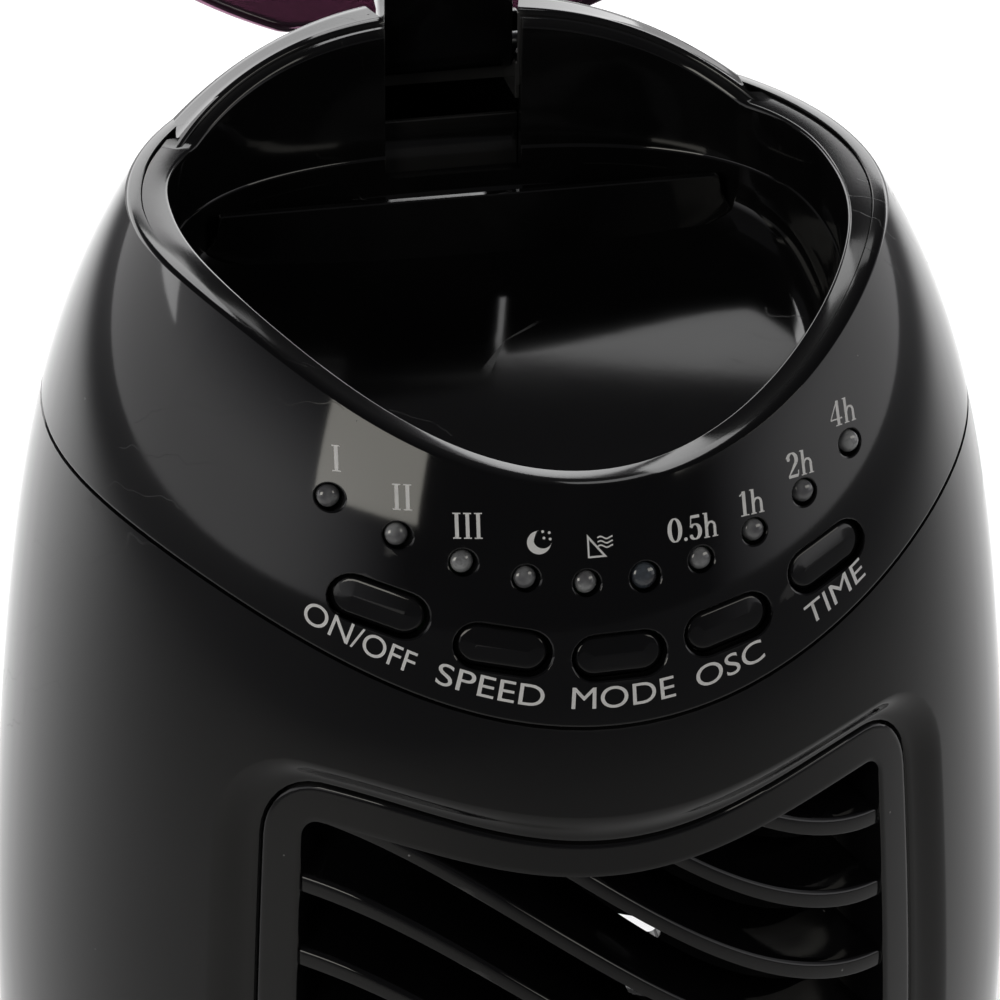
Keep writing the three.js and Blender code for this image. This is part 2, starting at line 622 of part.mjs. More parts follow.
function buildLid() {
  const low = HEAD_DATUM + 38;
  const outer = solid(eggSolid(0, low, CROWN_TOP));
  const inner = solid(eggSolid(LID_WALL, low - 1, CROWN_TOP));
  const belowRim = solid(wallBetween(range(0, 2 * Math.PI, 48).slice(0, -1), [0, 1],
    (a, v) => [95 * Math.sin(a), -95 * Math.cos(a), v === 0 ? low - 5 : rimHeight(a) + LID_GAP],
    (a, v) => [20 * Math.sin(a), -20 * Math.cos(a), v === 0 ? low - 5 : rimHeight(a) + LID_GAP], true));
  const arch = range(-47.5, 47.5, 12).map((x) => new THREE.Vector2(x, archHeight(x) + GAP));
  const archShape = new THREE.Shape([new THREE.Vector2(-47.5, low), ...arch,
    new THREE.Vector2(47.5, low)]);
  const overCrescent = solid(plate(archShape, 100).rotateX(Math.PI / 2).translate(0, 105, 0));
  const behind = solid(box(140, 60, 100, 0, LID_LINE_BACK + 30, HEAD_DATUM + 70));
  const dome = outer.subtract(inner).subtract(belowRim).subtract(overCrescent).subtract(behind);
  add('lid_dome', swingOpen(geometryOf(biggest(dome))), PLUM_LID);

  const barrel = 4.3;
  const rest = (points) => points.map(([y, z]) => aboutHinge(y, z));
  const innerDome = (y) => CROWN_CENTRE
    + Math.sqrt((CROWN_RADIUS - LID_WALL - 1) ** 2 - y ** 2);
  const pad = rest([
    [42, innerDome(42)], [34, innerDome(34)], [26, innerDome(26)], [25, innerDome(25) - 3],
    [34, innerDome(34) - 3.4], [40, innerDome(40) - 5], [44.5, HINGE_Z + 2], [50.5, HINGE_Z + 2],
    [47.6, HINGE_Z + 8], [43.6, innerDome(43.6) - 1.5]]);
  const leaf = [
    [HINGE_Y - barrel, HINGE_Z], [HINGE_Y - barrel, HINGE_Z + 13], [HINGE_Y - barrel + 1, HINGE_Z + 14],
    [HINGE_Y + 0.6, HINGE_Z + 14], [HINGE_Y + 1.4, HINGE_Z + 13], [HINGE_Y + 2, HINGE_Z]];
  const knuckle = new THREE.CylinderGeometry(barrel, barrel, HINGE_WIDTH, 24).rotateZ(Math.PI / 2)
    .translate(0, HINGE_Y, HINGE_Z);
  const bore = new THREE.CylinderGeometry(1.75, 1.75, 60, 14).rotateZ(Math.PI / 2)
    .translate(0, HINGE_Y, HINGE_Z);
  add('lid_arm', cut(join(knuckle, sidePlate(pad, HINGE_WIDTH - 5), sidePlate(leaf, HINGE_WIDTH)), bore),
    GLOSS_BLACK);
  const pin = new THREE.CylinderGeometry(1.45, 1.45, HINGE_WIDTH + 14, 14).rotateZ(Math.PI / 2);
  add('hinge_pin', pin.translate(0, HINGE_Y, HINGE_Z), STEEL);
}

// ---------------------------------------------------------------- control panel
const BOARD_DEPTH = 19;               // how far the board lies behind the panel's middle
const SWITCH_TOP = 4.4;               // plunger height in front of the board
const STEM_CLEARANCE = 0.15;          // left between a pressed stem and its plunger
const CAP_BACK = -5;                  // rear face of a button cap
const BOARD_ORIGIN = onRow(buttonRow, 0).addScaledVector(PRESS, -BOARD_DEPTH);

// How far a panel point stands in front of the board.
const aheadOfBoard = (place) => place.clone().sub(BOARD_ORIGIN).dot(PRESS);

function buildControls() {
  const upper = range(-42, 42, 8).map((x) => new THREE.Vector2(x, ledHeightOnBoard(x) + 2.6));
  const lower = range(42, -42, 8).map((x) => new THREE.Vector2(x, ledHeightOnBoard(x) - 16));
  const board = plate(new THREE.Shape([...upper, ...lower]), 1.5).translate(0, 0, -1.6);
  add('control_board', facePanel(board, 0, BOARD_ORIGIN), BOARD_GREEN);

  ledPlaces.forEach((place, i) => {
    const isSensor = i === SENSOR_INDEX;
    const r = isSensor ? 2 : 1.6;
    const back = Math.min(7, aheadOfBoard(place) - 0.4);
    const lens = new THREE.LatheGeometry([
      [0, -back], [r + 0.25, -back], [r + 0.25, -back + 1], [r, -back + 1], [r, -1.4], [r * 0.72, -0.7],
      [0, -0.4]].map(([x, y]) => new THREE.Vector2(x, y)), 12).rotateX(Math.PI / 2);
    const names = ['speed_1', 'speed_2', 'speed_3', 'sleep', 'breeze', '', 'half_hour', 'one_hour',
      'two_hours', 'four_hours'];
    const name = isSensor ? 'remote_receiver' : `led_${names[i]}`;
    add(name, facePanel(lens, 0, place), isSensor ? SENSOR_LENS : CLEAR_LENS);
  });

  const capRecess = 1.1;
  const capSkin = solid(eggSolid(capRecess, HEAD_DATUM - 10, HEAD_DATUM + 60, 96));
  const labels = ['power', 'speed', 'mode', 'swing', 'timer'];
  buttonPlaces.forEach((place, i) => {
    const ahead = aheadOfBoard(place);
    const cap = plate(stadium(BUTTON_LENGTH - 0.9, BUTTON_HEIGHT - 0.9), 7, 3)
      .translate(0, 0, CAP_BACK);
    const head = solid(facePanel(cap, buttonSpins[i], place)).intersect(capSkin);
    const stemEnd = SWITCH_TOP + BUTTON_TRAVEL + STEM_CLEARANCE - ahead;
    const stem = post(1.6, CAP_BACK + 0.9 - stemEnd, 0, 0, stemEnd, 10);
    add(`button_${labels[i]}`, geometryOf(head.add(solid(facePanel(stem, 0, place)))), GLOSS_BLACK);
    const base = box(6, 6, 3.4, 0, 0, 0.2 + 1.7 - ahead);
    const switchBody = join(base, post(1.5, 0.9, 0, 0, 3.5 - ahead, 10));
    add(`switch_${labels[i]}`, facePanel(switchBody, 0, place), SATIN_BLACK);
  });
}

function ledHeightOnBoard(x) {
  return onRow(ledRow, x).sub(BOARD_ORIGIN).dot(PANEL_UP);
}

// ---------------------------------------------------------------- air system
const DRUM_BOTTOM = 150;
const DRUM_TOP = 560;
const AXIS_Y = 6;

function buildAirSystem() {
  const blade = new THREE.Shape([
    new THREE.Vector2(29, -2.2), new THREE.Vector2(37.4, 3.4),
    new THREE.Vector2(36.7, 4.2), new THREE.Vector2(28.6, -1.2)]);
  const parts = [
    turned([[0, DRUM_BOTTOM], [IMPELLER_RADIUS, DRUM_BOTTOM], [IMPELLER_RADIUS, DRUM_BOTTOM + 3],
      [0, DRUM_BOTTOM + 3]], 24),
    turned([[0, DRUM_TOP - 3], [IMPELLER_RADIUS, DRUM_TOP - 3], [IMPELLER_RADIUS, DRUM_TOP],
      [0, DRUM_TOP]], 24),
    ring(IMPELLER_RADIUS, 27, 353, 356, 24),
    post(3, 14, 0, 0, DRUM_TOP - 1, 12),
  ];
  const bladeCount = 12;
  for (let i = 0; i < bladeCount; i += 1) {
    parts.push(plate(blade, DRUM_TOP - DRUM_BOTTOM - 3).translate(0, 0, DRUM_BOTTOM + 1.5)
      .rotateZ((i * 2 * Math.PI) / bladeCount));
  }
  const bore = post(3.3, 9, 0, 0, DRUM_BOTTOM - 1, 12);
  add('impeller', cut(join(...parts), bore).translate(0, AXIS_Y, 0), DRUM_GREY);

  const motorTop = 132;
  const motor = turned([
    [0, 84], [30, 84], [34, 88], [34, 122], [30, 126], [10, 126], [10, motorTop], [0, motorTop]], 20);
  add('fan_motor', cut(motor, post(3.4, 20, 0, 0, 116, 12)).translate(0, AXIS_Y, 0), MOTOR_TIN);
  const shaft = post(3, DRUM_BOTTOM + 2.4 - 118, 0, AXIS_Y, 118, 12);
  add('motor_shaft', shaft, STEEL);

  const bracketRing = turned([
    [36, 100], [62, 100], [62, 103], [39, 103], [39, 120], [36, 120]], 24);
  add('motor_bracket', bracketRing.translate(0, AXIS_Y, 0), SATIN_BLACK);

  add('bearing_bush', ring(8, 3.15, DRUM_TOP + 4, DRUM_TOP + 12, 16).translate(0, AXIS_Y, 0),
    COPPER_BRASS);
  const bridge = turned([
    [8.4, DRUM_TOP + 5], [66, DRUM_TOP + 5], [66, DRUM_TOP + 9], [8.4, DRUM_TOP + 9]], 32);
  const narrow = box(60, 150, 30, 0, 0, DRUM_TOP + 8);
  add('bearing_bracket', common(bridge.translate(0, AXIS_Y, 0), narrow.translate(0, AXIS_Y, 0)),
    SATIN_BLACK);

  const scrollBottom = 142;
  const scrollTop = DRUM_TOP + 4;
  const scroll = wallBetween(range(radians(75), radians(215), 12), [scrollBottom, scrollTop],
    (a, z) => scrollPoint(a, 0, z), (a, z) => scrollPoint(a, 1.8, z));
  add('scroll_wall', scroll, SATIN_BLACK);
  add('cutoff_wall', box(1.8, 34, scrollTop - scrollBottom, 43, -37, (scrollTop + scrollBottom) / 2)
    .translate(2, 0, 0), SATIN_BLACK);
}

// Air guide that opens away from the drum, measured round the drum's axis from the front.
function scrollPoint(angle, thickness, z) {
  const radius = IMPELLER_RADIUS + 4 + 12 * (1 - (angle - radians(75)) / radians(140)) + thickness;
  return [-radius * Math.sin(angle), AXIS_Y - radius * Math.cos(angle), z];
}

buildBase();
buildSwingDrive();
buildTurntable();
buildShells();
buildOutlet();
buildHead();
buildLid();
buildControls();
buildAirSystem();

export default fan;
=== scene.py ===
import math

import bmesh
import bpy
from mathutils import Matrix, Vector


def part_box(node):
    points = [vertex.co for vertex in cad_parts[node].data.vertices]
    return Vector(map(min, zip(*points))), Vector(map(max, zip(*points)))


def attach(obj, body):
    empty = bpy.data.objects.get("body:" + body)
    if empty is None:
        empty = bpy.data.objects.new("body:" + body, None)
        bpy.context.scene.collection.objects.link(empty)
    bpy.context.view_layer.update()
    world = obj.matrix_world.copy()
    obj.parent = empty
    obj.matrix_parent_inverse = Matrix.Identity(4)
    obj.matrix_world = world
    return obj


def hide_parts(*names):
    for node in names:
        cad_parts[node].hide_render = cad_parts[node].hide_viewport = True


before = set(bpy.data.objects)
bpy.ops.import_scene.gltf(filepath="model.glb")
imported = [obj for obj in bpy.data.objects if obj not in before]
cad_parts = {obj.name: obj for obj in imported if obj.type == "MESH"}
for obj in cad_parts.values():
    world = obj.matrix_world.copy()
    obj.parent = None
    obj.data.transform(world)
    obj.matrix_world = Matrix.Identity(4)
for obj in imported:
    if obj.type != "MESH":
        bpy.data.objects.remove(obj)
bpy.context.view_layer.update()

# Lengths are worked out in millimetres in the frame of the model and become metres
# when a mesh is made. Angles round the body are measured from the front, to the right.
MM = 0.001
HEAD = 680.0                 # head heights are counted from here
FLANK = 85.0                 # radius used to turn a length round the body into an angle
SHELL = 2.4                  # wall of the shells
GAP = 0.4                    # clearance between neighbouring pieces
RECESS = 2.2                 # how far the outlet insert lies below the shell
OUTLET_SIDE = math.radians(40.3)
HOLLOW_SIDE = math.radians(46)
WINDOW_SIDE = math.radians(35.2)
SEAM_SIDE = math.radians(112)
BODY_BOTTOM = 46.0
OUTLET_BOTTOM = 116.0
WINDOW_BOTTOM = 124.0
CROWN_START = HEAD + 78
CROWN_RADIUS = 64.6
HINGE_Y, HINGE_Z = 48.0, HEAD + 66
HINGE_HALF = 10.75
LID_OPEN = math.radians(115)
PRESS_TILT = math.radians(14)


# ------------------------------------------------------------------ the body's form
def body_radius(z):
    t = (z - 606) / 100
    if t < 0:
        return 85 - 13 * ((606 - z) / 560) ** 2
    return 85 * (1 - 0.229 * t ** 2 + 0.264 * t ** 3 - 0.158 * t ** 4)


CROWN_CENTRE = CROWN_START - math.sqrt(CROWN_RADIUS ** 2 - body_radius(CROWN_START) ** 2)


def egg_radius(z):
    if z <= CROWN_START:
        return body_radius(z)
    return math.sqrt(max(0.0, CROWN_RADIUS ** 2 - (z - CROWN_CENTRE) ** 2))


def on_body(angle, z, depth=0.0):
    r = egg_radius(z) - depth
    return (r * math.sin(angle), -r * math.cos(angle), z)


def body_normal(point):
    x, y, z = point
    slope = (egg_radius(z + 0.05) - egg_radius(z - 0.05)) / 0.1
    r = math.hypot(x, y) or 1.0
    return Vector((x / r, y / r, -slope)).normalized()


def dipped(height, dip):
    """Highest at the back with a wide dip at the front."""
    return lambda angle: HEAD + height - dip * max(0.0, math.cos(angle)) ** 3.86


def waved(top, drop, reach):
    """Level at the sides with a soft round dip at the front."""
    reach = math.radians(reach)

    def height(angle):
        across = min(1.0, abs(angle) / reach)
        return HEAD + top - drop * (1 + math.cos(math.pi * across)) / 2
    return height


seam_height = dipped(27.7, 19.3)
rim_height = dipped(61.9, 17.8)
lamp_row = dipped(49.9, 19.7)
button_row = dipped(38.3, 19.2)
hollow_top = waved(0.6, 6.2, 36)
outlet_top = waved(-4.1, 7.2, 35)
window_top = waved(-10.6, 6.7, 36)


def arch_height(x):
    return HEAD + 62 + 12 * (1 - min(1.0, abs(x / 47)) ** 2.6)


def spread(start, end, steps):
    return [start + (end - start) * i / steps for i in range(steps + 1)]


def blend_values(a, b, t):
    return a + (b - a) * t


# ------------------------------------------------------------------ mesh helpers
def mesh_piece(name, points, faces, smooth=True):
    """A new object from points in millimetres."""
    mesh = bpy.data.meshes.new(name)
    mesh.from_pydata([(x * MM, y * MM, z * MM) for x, y, z in points], [], faces)
    mesh.validate()
    mesh.update()
    for polygon in mesh.polygons:
        polygon.use_smooth = smooth
    piece = bpy.data.objects.new(name, mesh)
    bpy.context.scene.collection.objects.link(piece)
    return piece


def tidy_mesh(piece):
    """Merges doubles, drops loose bits and makes the faces point outwards."""
    bm = bmesh.new()
    bm.from_mesh(piece.data)
    bmesh.ops.remove_doubles(bm, verts=bm.verts, dist=1e-6)
    bmesh.ops.dissolve_degenerate(bm, dist=1e-7, edges=bm.edges)
    bmesh.ops.recalc_face_normals(bm, faces=bm.faces)
    bm.to_mesh(piece.data)
    bm.free()
    return piece


def skin(rows, count, closed=False):
    """Faces between neighbouring closed rows of points, and from the last to the first if closed."""
    faces = []
    for i in range(rows if closed else rows - 1):
        low, high = i * count, (i + 1) % rows * count
        for k in range(count):
            m = (k + 1) % count
            faces.append((low + k, low + m, high + m, high + k))
    return faces


def skin_round(rows, count):
    """Faces between open rows of points that stand round an axis."""
    faces = []
    for i in range(rows):
        here, there = i * count, (i + 1) % rows * count
        for k in range(count - 1):
            faces.append((here + k, there + k, there + k + 1, here + k + 1))
    return faces


def flattened(rows):
    return [point for row in rows for point in row]


def torus_grid(name, loops):
    """Closed skin from closed loops of equal length, the last joined to the first."""
    faces = skin(len(loops), len(loops[0]), closed=True)
    return tidy_mesh(mesh_piece(name, flattened(loops), faces))


def capped_grid(name, sections):
    """Closed skin from closed sections of equal length, with the two ends filled."""
    count = len(sections[0])
    last = (len(sections) - 1) * count
    faces = skin(len(sections), count)
    faces += [tuple(reversed(range(count))), tuple(range(last, last + count))]
    return tidy_mesh(mesh_piece(name, flattened(sections), faces))


def turned(name, outline, centre=(0, 0), sides=128):
    """Solid of revolution: an outline that starts and ends on the axis, or a closed one."""
    closed = outline[0][0] > 0
    cx, cy = centre
    points, rings = [], []
    for r, z in outline:
        if r == 0:
            rings.append([len(points)])
            points.append((cx, cy, z))
            continue
        rings.append(list(range(len(points), len(points) + sides)))
        for k in range(sides):
            a = 2 * math.pi * k / sides
            points.append((cx + r * math.cos(a), cy + r * math.sin(a), z))
    faces = []
    pairs = list(zip(rings, rings[1:])) + ([(rings[-1], rings[0])] if closed else [])
    for low, high in pairs:
        for k in range(sides):
            m = (k + 1) % sides
            corner = [low[k % len(low)], low[m % len(low)], high[m % len(high)], high[k % len(high)]]
            face = tuple(dict.fromkeys(corner))
            if len(face) > 2:
                faces.append(face)
    return tidy_mesh(mesh_piece(name, points, faces))


def rounded(outline, radius, steps=4):
    """A closed outline with each corner replaced by an arc-like curve."""
    made = []
    for i, corner in enumerate(outline):
        here = Vector(corner)
        before, after = Vector(outline[i - 1]), Vector(outline[(i + 1) % len(outline)])
        reach = min(radius, (before - here).length * 0.45, (after - here).length * 0.45)
        a = here + (before - here).normalized() * reach
        b = here + (after - here).normalized() * reach
        for t in spread(0, 1, steps):
            made.append(tuple(a * (1 - t) ** 2 + here * (2 * t * (1 - t)) + b * t ** 2))
    return made


def crease(piece, degrees=35):
    piece.data.set_sharp_from_angle(angle=math.radians(degrees))
    return piece


def follow_form(piece, degrees=16):
    """Faces that lie on the egg form take its exact normals, so that reflections run smoothly."""
    crease(piece, 30)
    mesh = piece.data
    normals = [Vector(n.vector) for n in mesh.corner_normals]
    limit = math.cos(math.radians(degrees))
    for polygon in mesh.polygons:
        for corner in polygon.loop_indices:
            point = mesh.vertices[mesh.loops[corner].vertex_index].co / MM
            exact = body_normal(point)
            off_form = abs(math.hypot(point.x, point.y) - egg_radius(point.z))
            if off_form < 0.06 and exact.dot(polygon.normal) > limit:
                normals[corner] = exact
    mesh.normals_split_custom_set(normals)
    return piece


def baked(piece, name):
    """The piece with its modifiers applied, as a plain mesh object; the old one goes."""
    bpy.context.view_layer.update()
    evaluated = piece.evaluated_get(bpy.context.evaluated_depsgraph_get())
    mesh = bpy.data.meshes.new_from_object(evaluated)
    bpy.data.objects.remove(piece)
    mesh.name = name
    made = bpy.data.objects.new(name, mesh)
    bpy.context.scene.collection.objects.link(made)
    return made


def carve(piece, *tools, operation="DIFFERENCE"):
    """Cuts the tools out of the piece, or joins them to it."""
    name = piece.name
    for tool in tools:
        modifier = piece.modifiers.new("carve", "BOOLEAN")
        modifier.operation = operation
        modifier.solver = "MANIFOLD"
        modifier.object = tool
    made = baked(piece, name)
    made.name = name
    for tool in tools:
        bpy.data.objects.remove(tool)
    return made


def merged(name, pieces):
    """Several objects as one."""
    bm = bmesh.new()
    for piece in pieces:
        bm.from_mesh(piece.data)
        bpy.data.objects.remove(piece)
    mesh = bpy.data.meshes.new(name)
    bm.to_mesh(mesh)
    bm.free()
    made = bpy.data.objects.new(name, mesh)
    bpy.context.scene.collection.objects.link(made)
    return made


def soften(piece, width, segments=3, degrees=40):
    """Rounds the hard edges."""
    modifier = piece.modifiers.new("soften", "BEVEL")
    modifier.width = width * MM
    modifier.segments = segments
    modifier.limit_method = "ANGLE"
    modifier.angle_limit = math.radians(degrees)
    modifier.harden_normals = True
    return baked(piece, piece.name)


def block(name, low, high):
    """A plain block used as a cutter or as the start of a shaped piece."""
    (x0, y0, z0), (x1, y1, z1) = low, high
    points = [(x, y, z) for z in (z0, z1) for y in (y0, y1) for x in (x0, x1)]
    faces = [(0, 2, 3, 1), (4, 5, 7, 6), (0, 1, 5, 4), (2, 6, 7, 3), (0, 4, 6, 2), (1, 3, 7, 5)]
    return mesh_piece(name, points, faces, smooth=False)


def upright_plate(name, outline, y0, y1):
    """An outline in X and Z given thickness along Y."""
    return capped_grid(name, [[(x, y, z) for x, z in outline] for y in (y0, y1)])


def side_plate(name, outline, half_width):
    """An outline in Y and Z given thickness along X."""
    return capped_grid(name, [[(x, y, z) for y, z in outline] for x in (-half_width, half_width)])


def fit(piece, body, slot, material, *nodes):
    """Gives a finished piece its material and its body, and hides the nodes it stands for. The slot is not
    used.
    """
    piece.data.materials.clear()
    piece.data.materials.append(material)
    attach(piece, body)
    if nodes:
        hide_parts(*nodes)
    return piece


# ------------------------------------------------------------------ node helpers
class Value:
    """A node's output; arithmetic on it adds Math nodes."""

    def __init__(self, nodes, socket):
        self.nodes = nodes
        self.socket = socket

    def output(self, name):
        return Value(self.nodes, self.socket.node.outputs[name])

    def maths(self, operation, *values):
        inputs = dict(enumerate(values))
        return self.nodes.add("ShaderNodeMath", {"operation": operation}, inputs)

    def __add__(self, other):
        return self.maths("ADD", self, other)

    def __radd__(self, other):
        return self.maths("ADD", other, self)

    def __sub__(self, other):
        return self.maths("SUBTRACT", self, other)

    def __rsub__(self, other):
        return self.maths("SUBTRACT", other, self)

    def __mul__(self, other):
        return self.maths("MULTIPLY", self, other)

    def __rmul__(self, other):
        return self.maths("MULTIPLY", other, self)

    def __truediv__(self, other):
        return self.maths("DIVIDE", self, other)

    def __pow__(self, other):
        return self.maths("POWER", self, other)

    def above(self, limit):
        return self.maths("GREATER_THAN", self, limit)

    def below(self, limit):
        return self.maths("LESS_THAN", self, limit)

    def rise(self, low, high):
        """0 up to low, 1 from high, and a smooth climb between."""
        inputs = {"Value": self, "From Min": low, "From Max": high}
        return self.nodes.add("ShaderNodeMapRange", {"interpolation_type": "SMOOTHSTEP"}, inputs)


class Nodes:
    """Builds one node tree."""

    def __init__(self, tree):
        self.tree = tree

    def add(self, kind, settings=None, inputs=None, out=0):
        node = self.tree.nodes.new(kind)
        for key, value in (settings or {}).items():
            setattr(node, key, value)
        for key, value in (inputs or {}).items():
            socket = node.inputs[key]
            for item in value if isinstance(value, list) else [value]:
                if isinstance(item, Value):
                    self.tree.links.new(item.socket, socket)
                else:
                    socket.default_value = item
        return Value(self, node.outputs[out]) if node.outputs else node

    def mix(self, factor, first, second):
        """A colour between two colours."""
        settings = {"data_type": "RGBA", "clamp_factor": True}
        return self.add("ShaderNodeMix", settings, {0: factor, 6: first, 7: second}, out=2)


def material_nodes(name):
    material = bpy.data.materials.new(name)
    material.use_nodes = True
    material.node_tree.nodes.clear()
    return material, Nodes(material.node_tree)


def object_place(nodes):
    return nodes.add("ShaderNodeTexCoord", out="Object")


def worn_edges(nodes, low=0.53):
    """1 along sharp outer edges, 0 elsewhere."""
    return nodes.add("ShaderNodeNewGeometry", out="Pointiness").rise(low, 0.6)


def surface(nodes, **inputs):
    """The Principled shader on the material's output."""
    named = {key.replace("_", " "): value for key, value in inputs.items()}
    shader = nodes.add("ShaderNodeBsdfPrincipled", None, named)
    nodes.add("ShaderNodeOutputMaterial", None, {"Surface": shader})


def grey(level):
    return (level, level, level, 1.0)


def texture(nodes, kind, place, scale, settings=None, out=0, **inputs):
    named = {"Vector": place, "Scale": scale}
    named.update({key.replace("_", " "): value for key, value in inputs.items()})
    return nodes.add("ShaderNodeTex" + kind, settings, named, out=out)


def bump(nodes, height, strength, distance):
    return nodes.add("ShaderNodeBump", None,
                     {"Height": height, "Strength": strength, "Distance": distance * MM})


# ------------------------------------------------------------------ finishes
def polished_plastic(name, dark, pale, gloss, dust=1.0):
    """Gloss moulded plastic: faint clouding, hairline marks, dust specks and paler worn edges."""
    material, nodes = material_nodes(name)
    place = object_place(nodes)
    cloud = texture(nodes, "Noise", place, 45, Detail=4.0, Roughness=0.55)
    smear = texture(nodes, "Noise", place, 11, Detail=3.0, Distortion=0.8)
    peel = texture(nodes, "Noise", place, 420, Detail=2.0)
    cells = texture(nodes, "Voronoi", place, 230, {"feature": "F1"}, Randomness=1.0)
    picked = texture(nodes, "Voronoi", place, 230, {"feature": "F1"}, out="Color", Randomness=1.0)
    lucky = nodes.add("ShaderNodeSeparateColor", None, {0: picked}).above(0.975)
    speck = cells.below(0.045) * lucky * dust
    hair = texture(nodes, "Wave", place, 60, {"wave_type": "BANDS", "bands_direction": "DIAGONAL"},
                   out="Fac", Distortion=9.0, Detail=3.0)
    mark = hair.above(0.9985) * smear.above(0.56)
    worn = worn_edges(nodes)
    tone = nodes.mix(cloud.rise(0.35, 0.75), dark, pale)
    tone = nodes.mix(worn * 0.35, tone, grey(0.09))
    tone = nodes.mix(speck * 0.6, tone, grey(0.3))
    rough = gloss + cloud * 0.03 + smear.rise(0.5, 0.72) * 0.035 + worn * 0.1 + mark * 0.16
    rough = rough + speck * 0.4
    surface(nodes, Base_Color=tone, Roughness=rough, IOR=1.5,
            Normal=bump(nodes, peel + mark * -0.6, 0.06, 0.02))
    return material


def satin_plastic(name, dark, pale, grain=900):
    """Fine-spark satin plastic."""
    material, nodes = material_nodes(name)
    place = object_place(nodes)
    spark = texture(nodes, "Noise", place, grain, Detail=3.0)
    cloud = texture(nodes, "Noise", place, 30, Detail=4.0)
    worn = worn_edges(nodes, 0.52)
    tone = nodes.mix(cloud, dark, pale)
    tone = nodes.mix(worn * 0.5, tone, grey(0.12))
    surface(nodes, Base_Color=tone, Roughness=0.42 + spark * 0.16 + worn * 0.08, IOR=1.5,
            Normal=bump(nodes, spark, 0.35, 0.05))
    return material


def bright_metal(name, tint, rough, streak):
    """Plated or pressed metal with rolling lines and stains."""
    material, nodes = material_nodes(name)
    place = object_place(nodes)
    stretched = nodes.add("ShaderNodeMapping", None, {"Vector": place, "Scale": streak})
    lines = texture(nodes, "Noise", stretched, 400, Detail=5.0)
    stain = texture(nodes, "Noise", place, 60, Detail=5.0)
    darker = tuple(c * 0.62 for c in tint[:3]) + (1.0,)
    tone = nodes.mix(stain.rise(0.4, 0.75), tint, darker)
    surface(nodes, Base_Color=tone, Metallic=1.0, Roughness=rough + lines * 0.15 + stain * 0.08,
            Normal=bump(nodes, lines, 0.2, 0.02))
    return material


def cast_iron(name):
    material, nodes = material_nodes(name)
    place = object_place(nodes)
    sand = texture(nodes, "Noise", place, 700, Detail=6.0)
    rust = texture(nodes, "Noise", place, 70, Detail=6.0)
    tone = nodes.mix(rust.rise(0.52, 0.7), (0.08, 0.08, 0.085, 1), (0.13, 0.07, 0.045, 1))
    surface(nodes, Base_Color=tone, Metallic=0.7, Roughness=0.55 + sand * 0.3,
            Normal=bump(nodes, sand, 0.7, 0.2))
    return material


def moulded_rubber(name):
    material, nodes = material_nodes(name)
    place = object_place(nodes)
    grain = texture(nodes, "Noise", place, 1100, Detail=4.0)
    dust = texture(nodes, "Noise", place, 90, Detail=6.0)
    tone = nodes.mix(dust.rise(0.5, 0.75) * 0.6, grey(0.018), grey(0.07))
    surface(nodes, Base_Color=tone, Roughness=0.75 + grain * 0.2, Specular_IOR_Level=0.3,
            Normal=bump(nodes, grain, 0.5, 0.06))
    return material


def circuit_board(name):
    """Green lacquer over copper tracks."""
    material, nodes = material_nodes(name)
    place = object_place(nodes)
    tracks = texture(nodes, "Brick", place, 160, {"offset": 0.3, "squash": 0.7}, out="Fac",
                     Mortar_Size=0.03)
    weave = texture(nodes, "Noise", place, 900, Detail=2.0)
    tone = nodes.mix(tracks, (0.015, 0.085, 0.03, 1), (0.04, 0.17, 0.05, 1))
    tone = nodes.mix(weave.rise(0.6, 0.8) * 0.3, tone, (0.02, 0.12, 0.05, 1))
    surface(nodes, Base_Color=tone, Roughness=0.3 + weave * 0.15, Coat_Weight=0.3,
            Normal=bump(nodes, tracks, 0.4, 0.05))
    return material


def lamp_lens(name, core, rim, gloss):
    """Cast lens: a milky core with darker swirls and tiny flow marks."""
    material, nodes = material_nodes(name)
    place = object_place(nodes)
    swirl = texture(nodes, "Noise", place, 700, Detail=3.0, Distortion=1.5)
    patch = texture(nodes, "Noise", place, 260, Detail=2.0)
    tone = nodes.mix(patch.rise(0.38, 0.66), core, rim)
    tone = nodes.mix(swirl.rise(0.45, 0.7) * 0.5, tone, rim)
    surface(nodes, Base_Color=tone, Roughness=gloss + swirl * 0.06, IOR=1.5, Coat_Weight=1.0,
            Coat_Roughness=0.03, Normal=bump(nodes, swirl, 0.12, 0.05))
    return material


def smoked_plum(name):
    """Clear plum plastic with faint flow lines."""
    material, nodes = material_nodes(name)
    place = object_place(nodes)
    flow = texture(nodes, "Noise", place, 26, Detail=4.0, Distortion=1.2)
    worn = worn_edges(nodes)
    tone = nodes.mix(flow.rise(0.3, 0.7), (0.03, 0.007, 0.017, 1), (0.045, 0.012, 0.026, 1))
    surface(nodes, Base_Color=tone, Roughness=0.04 + flow * 0.04 + worn * 0.1, IOR=1.49,
            Transmission_Weight=0.86, Normal=bump(nodes, flow, 0.05, 0.05))
    return material


def printed_white(name):
    """Screen-printed ink with thin spots at its edges."""
    material, nodes = material_nodes(name)
    place = object_place(nodes)
    mesh_marks = texture(nodes, "Noise", place, 2600, Detail=3.0)
    wear = texture(nodes, "Noise", place, 500, Detail=5.0)
    tone = nodes.mix(wear.rise(0.5, 0.8) * 0.5, grey(0.86), grey(0.6))
    surface(nodes, Base_Color=tone, Roughness=0.35 + mesh_marks * 0.2,
            Normal=bump(nodes, mesh_marks, 0.3, 0.02))
    return material


def pale_floor(name):
    material, nodes = material_nodes(name)
    place = object_place(nodes)
    paper = texture(nodes, "Noise", place, 3, Detail=3.0)
    tone = nodes.mix(paper, grey(0.93), grey(0.95))
    surface(nodes, Base_Color=tone, Roughness=0.8)
    return material


